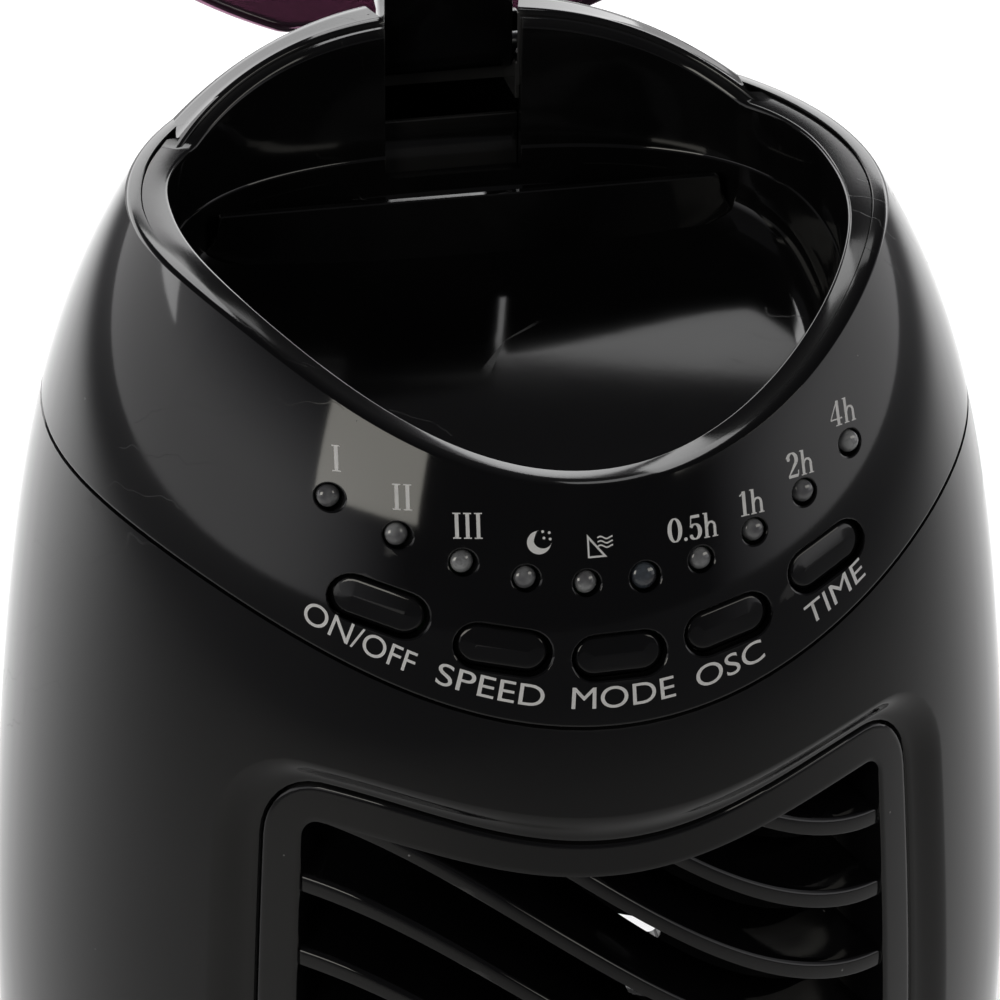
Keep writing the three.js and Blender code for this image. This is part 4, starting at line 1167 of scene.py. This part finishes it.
def make_rear_crescent():
    """Arched piece behind the bowl: level from bowl to outside, with soft edges and buried ends."""
    halves = []
    edge = 0.5
    cheek_x = HINGE_HALF + 0.4
    notch = math.atan2(cheek_x, WALL_BACK)
    for side in (-1, 1):
        loops = []
        for t in spread(0, 1, 72):
            angle = math.pi - blend_values(notch, math.radians(66), t)
            s, c = math.sin(angle), -math.cos(angle)
            inner_r = cheek_x / s if t == 0 else tray_plan(angle) + 0.1
            top_in = crescent_top(inner_r * s)
            outer_r = egg_radius(top_in)
            for _ in range(6):
                outer_r = egg_radius(crescent_top(outer_r * s))
            top_out = crescent_top(outer_r * s)
            span = outer_r - inner_r
            foot = min(HEAD + 60.5, top_out - 1.6, top_in - 1.6)
            section = [(inner_r, foot), (inner_r, top_in - edge),
                       (inner_r + edge * 0.3, top_in - edge * 0.3), (inner_r + edge, top_in)]
            for f in (0.2, 0.4, 0.6, 0.8):
                r = inner_r + edge + (span - 2 * edge) * f
                section.append((r, crescent_top(r * s)))
            section += [(outer_r - edge, crescent_top((outer_r - edge) * s)),
                        (egg_radius(top_out - 0.15) - 0.15, top_out - 0.15)]
            skirt = min(HEAD + 62.05, top_out - 0.9)
            for f in (0.0, 0.5, 1.0):
                z = blend_values(top_out - edge, skirt, f)
                section.append((egg_radius(z), z))
            section += [(egg_radius(skirt) - 1.0, skirt - 0.2), (egg_radius(foot) - 1.2, foot)]
            loops.append([(side * r * s, r * c, z) for r, z in section])
        halves.append(crease(capped_grid("crescent_half", loops), 50))

    def stiffener(name, x0, x1, y0, y1, z0, z1):
        low, high = (min(x0, x1), y0, HEAD + z0), (max(x0, x1), y1, HEAD + z1)
        return soften(block(name, low, high), 0.3)

    cheeks = []
    for side in (-1, 1):
        cheeks.append(stiffener("cheek", side * cheek_x, side * (HINGE_HALF + 3.6), 43.2, 54.8, 57.4, 64))
        cheeks.append(stiffener("post", side * (HINGE_HALF - 2.1), side * (HINGE_HALF + 3.0),
                                52.9, 54.7, 57.4, 69))
    bridge = stiffener("bridge", -HINGE_HALF - 3.4, HINGE_HALF + 3.4, 52.6, 54.7, 57.3, 60.7)
    return merged("rear_crescent_moulding", halves + cheeks + [bridge])


# ------------------------------------------------------------------ lid
def about_hinge(y, z):
    """A point of the closed lid, swung open."""
    c, s = math.cos(-LID_OPEN), math.sin(-LID_OPEN)
    dy, dz = y - HINGE_Y, z - HINGE_Z
    return HINGE_Y + dy * c - dz * s, HINGE_Z + dy * s + dz * c


def opened(points):
    return [(x, *about_hinge(y, z)) for x, y, z in points]


def lid_meridian(t, depth):
    """(radius, height) along the dome from low on the egg (0) to its crown (1)."""
    low = HEAD + 38
    split = 0.42
    if t < split:
        z = blend_values(low, CROWN_START, t / split)
        n = body_normal((0, -body_radius(z), z))
        return body_radius(z) - depth * -n.y, z - depth * n.z
    start = math.asin(body_radius(CROWN_START) / CROWN_RADIUS)
    a = start * (1 - (t - split) / (1 - split))
    r = CROWN_RADIUS - depth
    return r * math.sin(a), CROWN_CENTRE + r * math.cos(a)


def make_lid_dome():
    """The egg's top as a thin shell, cut to stand clear of the rim, the crescent and the hinge."""
    wall = 2.0
    rim_gap, crescent_gap = 1.3, 1.0
    last = 0.999
    steps = 240

    def lies_on_lid(angle, t):
        r, z = lid_meridian(t, 0)
        x, y = r * math.sin(angle), -r * math.cos(angle)
        if z < rim_height(angle) + rim_gap or y > HINGE_Y - 4.1:
            return False
        inside = lid_meridian(t, wall)[1]
        return not (y > 0 and abs(x) < 54 and inside < arch_height(x) + crescent_gap)

    def edge_of(angle):
        first = next(t for t in [i / steps for i in range(steps)]
                     if lies_on_lid(angle, t) and lies_on_lid(angle, min(last, t + 0.03)))
        low, high = max(0.0, first - 1 / steps), first
        for _ in range(14):
            middle = (low + high) / 2
            if lies_on_lid(angle, middle):
                high = middle
            else:
                low = middle
        return high

    rows = [0.0, 0.012, 0.04] + spread(0.09, 0.985, 26)
    loops = []
    for angle in spread(-math.pi, math.pi, 220)[:-1]:
        s, c = math.sin(angle), -math.cos(angle)
        start = edge_of(angle)

        def at(f, depth):
            r, z = lid_meridian(blend_values(start, 1, f), depth)
            return (r * s, r * c, z)

        section = [at(f, 0) for f in reversed(rows[1:])]
        section += [at(0.004, 0.12), at(0.0, 0.55), at(0.0, 1.45), at(0.004, 1.88)]
        section += [at(f, wall) for f in rows[1:]]
        loops.append(opened(section))
    around, count = len(loops), len(loops[0])
    points = flattened(loops)
    faces = skin_round(around, count)
    for k, depth in ((0, 0), (count - 1, wall)):
        pole = len(points)
        points += opened([(0, 0, lid_meridian(1, depth)[1])])
        for i in range(around):
            here, there = i * count + k, (i + 1) % around * count + k
            faces.append((there, here, pole) if k == 0 else (here, there, pole))
    return crease(tidy_mesh(mesh_piece("lid_dome_moulding", points, faces)), 60)


def make_lid_arm():
    """Hinge leaf with its barrel, and the pad that carries the dome."""
    barrel = 4.3

    def inner_dome(y):
        return CROWN_CENTRE + math.sqrt((CROWN_RADIUS - 3) ** 2 - y ** 2)

    pad = [about_hinge(y, z) for y, z in (
        [(y, inner_dome(y)) for y in spread(42, 26, 6)] + [(25, inner_dome(25) - 3)]
        + [(y, inner_dome(y) - 3.4) for y in (29, 34)]
        + [(40, inner_dome(40) - 5), (44.5, HINGE_Z + 2), (50.5, HINGE_Z + 2), (47.6, HINGE_Z + 8),
           (43.6, inner_dome(43.6) - 1.5)])]
    round_part = [(HINGE_Y + barrel * math.cos(a), HINGE_Z + barrel * math.sin(a))
                  for a in spread(0, -math.pi, 24)]
    leaf = round_part + rounded([
        (HINGE_Y - barrel, HINGE_Z + 0.5), (HINGE_Y - barrel, HINGE_Z + 13.6),
        (HINGE_Y - barrel + 0.6, HINGE_Z + 14), (HINGE_Y + 0.8, HINGE_Z + 14),
        (HINGE_Y + 1.4, HINGE_Z + 13.2), (HINGE_Y + 4.1, HINGE_Z + 1.5)], 0.9)[5:]
    block_part = soften(side_plate("leaf", leaf, HINGE_HALF), 0.35, 3, 60)
    pad_part = soften(side_plate("pad", pad, HINGE_HALF - 2.5), 0.4, 3, 50)
    return crease(merged("lid_arm_moulding", [block_part, pad_part]), 45)


# ------------------------------------------------------------------ base
BASE_RADIUS, SKIRT_TOP, BASE_TOP, NECK_RADIUS = 125.0, 19.0, 34.0, 60.0
SCREW_RING, FOOT_RING = 104.0, 100.0
CORD_HEIGHT = 13.1
DRUM_Y, DRUM_RADIUS, DRUM_BOTTOM, DRUM_TOP = 6.0, 38.0, 150.0, 560.0


def make_base_cover():
    wall = 2.6
    swell = spread(0, math.pi / 2, 26)
    outside = [(66 + 59 * math.cos(a), SKIRT_TOP + 15 * math.sin(a)) for a in swell]
    inside = [(66 + (59 - wall) * math.cos(a), SKIRT_TOP - 1 + (16 - wall) * math.sin(a)) for a in swell]
    outline = [(BASE_RADIUS - 0.5, 3.4), (BASE_RADIUS - 0.1, 3.55), (BASE_RADIUS, 4.0),
               (BASE_RADIUS, 11)]
    outline += outside + [(NECK_RADIUS + 0.5, BASE_TOP), (NECK_RADIUS + 0.1, BASE_TOP - 0.15),
                          (NECK_RADIUS, BASE_TOP - 0.5), (NECK_RADIUS, BASE_TOP - wall)]
    outline += inside[::-1] + [(BASE_RADIUS - wall, 3.4)]
    cover = turned("base_cover_moulding", outline, sides=192)
    hole = [[(u, y, CORD_HEIGHT + v) for u, v in disc_outline(5, 40)] for y in (112, 132)]
    cover = carve(cover, capped_grid("grommet_hole", hole))
    bosses = []
    for quarter in range(4):
        a = math.radians(45 + 90 * quarter)
        centre = (SCREW_RING * math.cos(a), SCREW_RING * math.sin(a))
        bosses.append(turned("boss", [(5, 6.8), (5, 25), (2.2, 25), (2.2, 6.8)], centre, 24))
    return crease(merged("base_cover_moulding", [cover] + bosses), 40)


def repeat_round(piece, tree_name, count, first, material):
    """Copies a piece round the Z axis with a geometry tree."""
    sizes = {"Count": count, "First angle": math.radians(first)}
    tree, nodes, entry, names = geometry_nodes(tree_name, sizes)
    spots = nodes.add("GeometryNodePoints", None, {"Count": entry.output("Count")})
    index = nodes.add("GeometryNodeInputIndex")
    turn = entry.output("First angle") + index * (2 * math.pi) / entry.output("Count")
    spin = nodes.add("ShaderNodeCombineXYZ", None, {2: turn})
    copies = nodes.add("GeometryNodeInstanceOnPoints", None,
                       {"Points": spots, "Instance": entry.output("Geometry"), "Rotation": spin})
    end_tree(nodes, copies, material)
    return grow(piece, tree, names, sizes)


def make_screws(material):
    outline = [(0, 1.2), (3.1, 1.2), (3.6, 1.45), (3.8, 1.9), (3.8, 3), (1.7, 3)]
    for turn in range(10):
        z = 3.6 + turn * 1.1
        outline += [(1.7, z), (1.35, z + 0.35), (1.7, z + 0.7)]
    outline += [(1.2, 14.9), (0, 15)]
    screw = turned("base_screws", outline, (SCREW_RING, 0), 28)
    cross = [block("slot", (SCREW_RING - 2.1, -0.4, 0.5), (SCREW_RING + 2.1, 0.4, 2.2)),
             block("slot", (SCREW_RING - 0.4, -2.1, 0.5), (SCREW_RING + 0.4, 2.1, 2.2))]
    screws = repeat_round(crease(carve(screw, *cross), 30), "screws_round_the_base", 4, 45, material)
    screws.name = "base_screws"
    return screws


def make_feet(material):
    outline = [(0, 0.15), (2, 0.15), (2.4, 0.0), (5.2, 0.0), (5.5, 0.35), (6.0, 0.35), (6.3, 0.0),
               (8.2, 0.0), (8.75, 0.3), (9, 0.9), (9, 3), (0, 3)]
    foot = crease(turned("rubber_feet", outline, (0, -FOOT_RING), 48), 50)
    feet = repeat_round(foot, "feet_round_the_base", 4, 0, material)
    feet.name = "rubber_feet"
    return feet


def make_drum(material):
    """Cross-flow drum: thirty curved blades between end discs, with a stiffening ring."""
    sections = []
    for z in (DRUM_BOTTOM + 2, 355, DRUM_TOP - 2):
        outer = [(28.4 + 8.9 * t, -2.6 + 5.4 * t ** 1.6, z) for t in spread(0, 1, 6)]
        inner = [(x - 0.25, y + 0.8, z) for x, y, z in reversed(outer)]
        sections.append(outer + inner)
    blade = crease(capped_grid("drum", sections), 50)
    blades = repeat_round(blade, "blades_round_the_drum", 30, 0, material)
    discs = []
    for low, high in ((DRUM_BOTTOM, DRUM_BOTTOM + 3), (DRUM_TOP - 3, DRUM_TOP)):
        discs.append(turned("disc", [
            (3.3, low + 0.4), (3.7, low), (12, low), (13, low + 0.5), (25, low + 0.5), (26, low),
            (DRUM_RADIUS - 0.4, low), (DRUM_RADIUS, low + 0.4), (DRUM_RADIUS, high - 0.4),
            (DRUM_RADIUS - 0.4, high), (26, high), (25, high - 0.5), (13, high - 0.5), (12, high),
            (3.3, high)], sides=96))
    discs.append(turned("middle", [(27, 353.4), (27.4, 353), (37.6, 353), (38, 353.4), (38, 355.6),
                                   (37.6, 356), (27.4, 356), (27, 355.6)], sides=96))
    discs.append(turned("stub", [
        (0, DRUM_TOP - 3), (3.6, DRUM_TOP - 3), (3, DRUM_TOP), (3, DRUM_TOP + 12.5),
        (2.6, DRUM_TOP + 13), (0, DRUM_TOP + 13)], sides=32))
    drum = merged("drum_moulding", [blades] + discs)
    drum.data.transform(Matrix.Translation((0, DRUM_Y * MM, 0)))
    return crease(drum, 40)


def make_hinge_pin():
    half = HINGE_HALF + 7
    outline = [(0, -half), (1.1, -half), (1.45, -half + 0.35), (1.45, half - 0.35), (1.1, half),
               (0, half)]
    pin = turned("hinge_pin_rod", outline, sides=32)
    turn = Matrix.Rotation(math.pi / 2, 4, "Y")
    pin.data.transform(Matrix.Translation((0, HINGE_Y * MM, HINGE_Z * MM)) @ turn)
    return crease(pin, 40)


# ------------------------------------------------------------------ printed legends
def pen(path, widths):
    """A ribbon of ink along a path; widths are half widths at its points."""
    points, faces = [], []
    for i, (u, v) in enumerate(path):
        before, after = path[max(0, i - 1)], path[min(len(path) - 1, i + 1)]
        along = Vector((after[0] - before[0], after[1] - before[1])).normalized()
        w = widths[i] if isinstance(widths, list) else widths
        points += [(u - along.y * w, v + along.x * w), (u + along.y * w, v - along.x * w)]
    for i in range(len(path) - 1):
        faces.append((2 * i, 2 * i + 1, 2 * i + 3, 2 * i + 2))
    return points, faces


def curl(centre, rx, ry, start, end, thin, thick, steps=20):
    """A curved pen stroke, thick where it runs upright."""
    turns = spread(math.radians(start), math.radians(end), steps)
    path = [(centre[0] + rx * math.cos(a), centre[1] + ry * math.sin(a)) for a in turns]
    return pen(path, [thin + (thick - thin) * abs(math.cos(a)) for a in turns])


def dot(u, v, r, sides=16):
    return filled([(u + x, v + y) for x, y in disc_outline(r, sides)])


def serif_letters():
    """Width and strokes of each letter, for a height of 1."""
    return {
        "0": (0.64, [curl((0.31, 0.49), 0.22, 0.45, 0, 360, 0.025, 0.085, 36)]),
        ".": (0.22, [dot(0.1, 0.08, 0.075)]),
        "5": (0.62, [pen([(0.13, 0.91), (0.5, 0.91)], 0.06), pen([(0.14, 0.93), (0.11, 0.5)], 0.022),
                     curl((0.28, 0.32), 0.21, 0.29, 140, -140, 0.025, 0.085), dot(0.12, 0.15, 0.075)]),
        "1": (0.52, [pen([(0.28, 0.03), (0.28, 0.97)], 0.075), pen([(0.1, 0.02), (0.46, 0.02)], 0.024),
                     pen([(0.28, 0.94), (0.1, 0.8)], 0.03)]),
        "2": (0.64, [curl((0.29, 0.7), 0.2, 0.26, 165, -28, 0.025, 0.085),
                     pen([(0.47, 0.58), (0.1, 0.08)], [0.075, 0.022]),
                     pen([(0.08, 0.06), (0.53, 0.06)], 0.06),
                     pen([(0.53, 0.06), (0.55, 0.26)], 0.022), dot(0.13, 0.74, 0.075)]),
        "4": (0.68, [pen([(0.42, 0.95), (0.05, 0.28)], 0.024), pen([(0.04, 0.27), (0.62, 0.27)], 0.028),
                     pen([(0.43, 0.03), (0.43, 0.97)], 0.07), pen([(0.28, 0.02), (0.58, 0.02)], 0.022)]),
        "h": (0.68, [pen([(0.15, 0.03), (0.15, 0.98)], 0.065), pen([(0.02, 0.96), (0.15, 0.96)], 0.022),
                     curl((0.34, 0.42), 0.16, 0.18, 175, 0, 0.04, 0.05),
                     pen([(0.5, 0.03), (0.5, 0.44)], 0.06),
                     pen([(0.03, 0.02), (0.27, 0.02)], 0.022), pen([(0.38, 0.02), (0.62, 0.02)], 0.022)]),
        "I": (0.4, [pen([(0.2, 0.02), (0.2, 0.98)], 0.07), pen([(0.05, 0.02), (0.35, 0.02)], 0.025),
                    pen([(0.05, 0.98), (0.35, 0.98)], 0.025)]),
    }


def serif_words(words, height):
    """A word in serif letters, centred on its own middle."""
    letters = serif_letters()
    x, drawings = 0.0, []
    for letter in words:
        width, strokes = letters[letter]
        for points, faces in strokes:
            drawings.append(([(x + u, v) for u, v in points], faces))
        x += width
    points, faces = joined(drawings)
    return [((u - x / 2) * height, (v - 0.5) * height) for u, v in points], faces


def filled(outline):
    """A flat outline of any shape as triangles."""
    bm = bmesh.new()
    ring = [bm.verts.new((u, v, 0)) for u, v in outline]
    face = bm.faces.new(ring)
    bmesh.ops.triangulate(bm, faces=[face])
    bm.verts.index_update()
    points = [(v.co.x, v.co.y) for v in bm.verts]
    faces = [tuple(v.index for v in f.verts) for f in bm.faces]
    bm.free()
    return points, faces


def joined(drawings):
    points, faces = [], []
    for some_points, some_faces in drawings:
        start = len(points)
        points += some_points
        faces += [tuple(start + i for i in face) for face in some_faces]
    return points, faces


def moon_drawing():
    """A crescent moon with four stars."""
    outer = [(-0.25 + 1.75 * math.cos(a), -0.1 + 1.75 * math.sin(a))
             for a in spread(math.radians(100), math.radians(350), 40)]
    inner = [(0.35 + 1.42 * math.cos(a), 0.42 + 1.42 * math.sin(a))
             for a in spread(math.radians(334), math.radians(116), 40)]
    stars = [dot(x, y, 0.22, 12) for x, y in ((0.35, 1.5), (1.3, 1.3), (0.5, 0.55), (1.4, 0.35))]
    return joined([filled(outer + inner)] + stars)


def breeze_drawing():
    """A right-angled triangle outline with three waves beside it."""
    triangle = [(-1.9, 1.9), (-1.9, -1.7), (1.0, -1.7)]
    inside = [(-1.62, 1.05), (-1.62, -1.42), (0.38, -1.42)]
    sides = []
    for i in range(3):
        j = (i + 1) % 3
        sides.append(filled([triangle[i], triangle[j], inside[j], inside[i]]))
    waves = []
    for level in (1.25, 0.6, -0.05):
        line = [(-0.35 + 2.3 * t, level + 0.17 * math.sin(2 * math.pi * 1.25 * t) - 0.1 * t)
                for t in spread(0, 1, 14)]
        waves.append(filled([(u, v + 0.12) for u, v in line]
                            + [(u, v - 0.12) for u, v in reversed(line)]))
    return joined(sides + waves)


# What is printed over each lamp, how far right of the middle it stands and how far above the row.
LAMP_LEGENDS = [("I", -38.5, 6.4), ("II", -29.9, 6.1), ("III", -21.0, 5.8), ("moon", -10.6, 5.9),
                ("breeze", -1.8, 5.6), ("0.5h", 12.8, 5.3), ("1h", 22.5, 4.6), ("2h", 31.3, 4.6),
                ("4h", 39.8, 5.3)]
# What is printed under each button, how far its middle stands from the button's, and its width.
BUTTON_LEGENDS = [("ON/OFF", -0.8, 0.82), ("SPEED", -0.7, 1.12), ("MODE", 0.2, 1.09),
                  ("OSC", -1.2, 1.12), ("TIME", -0.8, 1.0)]
CAPITAL_HEIGHT = 3.55


def make_legends():
    prints = []
    for words, x, lift in LAMP_LEGENDS:
        if words == "moon":
            points, faces = moon_drawing()
        elif words == "breeze":
            points, faces = breeze_drawing()
        else:
            points, faces = serif_words(words, 3.8)
        place = on_row(lamp_row, x)
        prints.append(lay_on_panel(points, faces, place, row_slope(lamp_row, x) * 0.12, lift))
    for index, (words, aside, wide) in enumerate(BUTTON_LEGENDS):
        points, faces = flat_text(words, CAPITAL_HEIGHT)
        curved = []
        for u, v in points:
            x = BUTTON_XS[index] + aside + u * wide
            tilt = row_slope(button_row, x)
            drop = v - CAPITAL_HEIGHT / 2 - 6.1 * math.cos(tilt)
            line = on_row(button_row, x)
            curved.append(panel_point(line, -drop * math.sin(tilt), drop * math.cos(tilt), INK_DEPTH))
        prints.append(mesh_piece("print", curved, faces))
    return merged("panel_legends", prints)


# ------------------------------------------------------------------ stage, light and camera
def make_floor(material):
    floor = turned("floor", [(0, -30), (14000, -30), (14000, 0), (0, 0)], sides=96)
    floor.data.materials.append(material)


def make_world():
    """Pale at the horizon behind and beside the object, dim in front and overhead."""
    world = bpy.data.worlds.new("studio")
    world.use_nodes = True
    tree = world.node_tree
    tree.nodes.clear()
    nodes = Nodes(tree)
    toward = nodes.add("ShaderNodeTexCoord", out="Generated")
    parts = nodes.add("ShaderNodeSeparateXYZ", None, {0: toward})
    behind = parts.output("Y").rise(-0.35, 0.3)
    beside = parts.maths("ABSOLUTE", parts.output("X")).rise(0.55, 1.0)
    low = 1 - parts.output("Z").rise(0.12, 0.5)
    pale = parts.maths("MAXIMUM", behind, beside) * low
    light = 0.06 + pale * 0.95
    tone = nodes.mix(pale, (0.95, 0.94, 1.0, 1), (1.0, 0.99, 1.0, 1))
    sky = nodes.add("ShaderNodeBackground", None, {"Color": tone, "Strength": light})
    nodes.add("ShaderNodeOutputWorld", None, {"Surface": sky})
    bpy.context.scene.world = world


def area_light(name, width, height, brightness, place, tint):
    lamp = bpy.data.lights.new(name, "AREA")
    lamp.shape = "RECTANGLE"
    lamp.size, lamp.size_y = width, height
    lamp.energy = brightness * math.pi * width * height
    lamp.color = tint
    holder = bpy.data.objects.new(name, lamp)
    holder.matrix_world = place
    holder.visible_camera = False
    bpy.context.scene.collection.objects.link(holder)


def softbox(name, azimuth, elevation, distance, width, height, brightness, tint=(1, 1, 1)):
    """An area light that faces the head, placed by its direction from it."""
    a, e = math.radians(azimuth), math.radians(elevation)
    toward = Vector((math.sin(a) * math.cos(e), -math.cos(a) * math.cos(e), math.sin(e)))
    turn = toward.to_track_quat("Z", "Y").to_matrix().to_4x4()
    middle = Matrix.Translation(Vector((0, 0, 0.73)) + toward * distance)
    area_light(name, width, height, brightness, middle @ turn, tint)


def make_lights():
    cream = (1.0, 0.97, 0.88)
    softbox("left_softbox", -46, 19, 2.5, 1.15, 0.85, 3.6, cream)
    softbox("right_softbox", 48, 21, 2.5, 1.6, 0.62, 2.0, cream)
    softbox("rear_left_box", 162.5, 44, 2.5, 0.42, 0.36, 1.4)
    softbox("rear_right_box", 176, 40, 2.5, 0.42, 1.1, 3.2)
    area_light("floor_light", 6.0, 2.2, 2.4, Matrix.Translation((0, 2.4, 1.35)), (1, 1, 1))


def make_camera():
    lens = bpy.data.cameras.new("camera")
    lens.lens, lens.sensor_width = 174.06, 36
    lens.clip_start, lens.clip_end = 0.05, 60
    camera = bpy.data.objects.new("camera", lens)
    azimuth, elevation, roll = math.radians(-12.863), math.radians(27.902), math.radians(0.597)
    back = Vector((math.sin(azimuth) * math.cos(elevation), -math.cos(azimuth) * math.cos(elevation),
                   math.sin(elevation)))
    right = Vector((math.cos(azimuth), math.sin(azimuth), 0))
    up = back.cross(right)
    turned_right = right * math.cos(roll) + up * math.sin(roll)
    turned_up = up * math.cos(roll) - right * math.sin(roll)
    axes = Matrix((turned_right, turned_up, back)).transposed().to_4x4()
    camera.matrix_world = Matrix.Translation((-0.15515, -0.67709, 1.0536)) @ axes
    bpy.context.scene.collection.objects.link(camera)
    bpy.context.scene.camera = camera


# ------------------------------------------------------------------ assembly
KEPT_NODES = {
    "satin_black": ["base_plate", "pivot_post", "turntable_ring", "swing_crank", "turntable", "body_floor",
                    "motor_bracket", "bearing_bracket", "scroll_wall", "cutoff_wall"]
                   + [f"switch_{name}" for name in BUTTONS],
    "ballast_iron": ["base_ballast"],
    "motor_tin": ["swing_motor", "fan_motor"],
    "board_green": ["control_board"],
    "bronze": ["bearing_bush"],
    "screw_steel": ["motor_shaft"],
    "rubber_black": ["cord_grommet"],
}


def finish_kept_nodes(finishes):
    for finish, names in KEPT_NODES.items():
        for name in names:
            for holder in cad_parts[name].material_slots:
                holder.material = finishes[finish]


def build_fan():
    """Makes every piece, gives it its body and material, and hides the nodes it stands for."""
    finishes = make_finishes()
    gloss, tray, cap = finishes["gloss_black"], finishes["tray_black"], finishes["cap_black"]
    steel, rubber, grey_plastic = finishes["screw_steel"], finishes["rubber_black"], finishes["drum_grey"]

    fit(make_base_cover(), "base", "gloss_black", gloss, "base_cover")
    fit(make_screws(steel), "base", "screw_steel", steel, *[f"base_screw_{i}" for i in range(1, 5)])
    fit(make_feet(rubber), "base", "rubber_black", rubber, *[f"rubber_foot_{i}" for i in range(1, 5)])

    for piece, node in ((make_front_shell(), "front_shell"), (make_rear_shell(gloss), "rear_shell"),
                        (make_outlet_border(), "outlet_grille"),
                        (make_outlet_ribs(gloss), "outlet_grille"), (make_head_shell(), "head_shell")):
        fit(piece, "tower", "gloss_black", gloss, node)

    bowl, pocket_outline = make_tray_bowl()
    for piece in (bowl, make_pocket(pocket_outline), make_divider(), make_well_back()):
        fit(piece, "tower", "gloss_black", tray, "storage_tray")
    fit(make_rear_crescent(), "tower", "gloss_black", gloss, "rear_crescent")

    for index, name in enumerate(BUTTONS):
        fit(make_button(index), f"button_{name}_body", "gloss_black", cap, f"button_{name}")
    for index, name in enumerate(LAMPS):
        slot = "sensor_lens" if index == RECEIVER else "frosted_lens"
        fit(make_lamp(index), "tower", slot, finishes[slot], name)
    fit(make_legends(), "tower", "frosted_lens", finishes["ink"])

    dome = fit(make_lid_dome(), "lid", "smoked_plum", finishes["smoked_plum"], "lid_dome")
    dome.visible_glossy = False
    fit(make_lid_arm(), "lid", "gloss_black", gloss, "lid_arm")
    fit(make_hinge_pin(), "tower", "screw_steel", steel, "hinge_pin")
    fit(make_drum(grey_plastic), "drum", "drum_grey", grey_plastic, "impeller")
    finish_kept_nodes(finishes)


build_fan()
make_floor(pale_floor("pale_floor"))
make_world()
make_lights()
make_camera()
bpy.context.scene.view_settings.view_transform = "Standard"
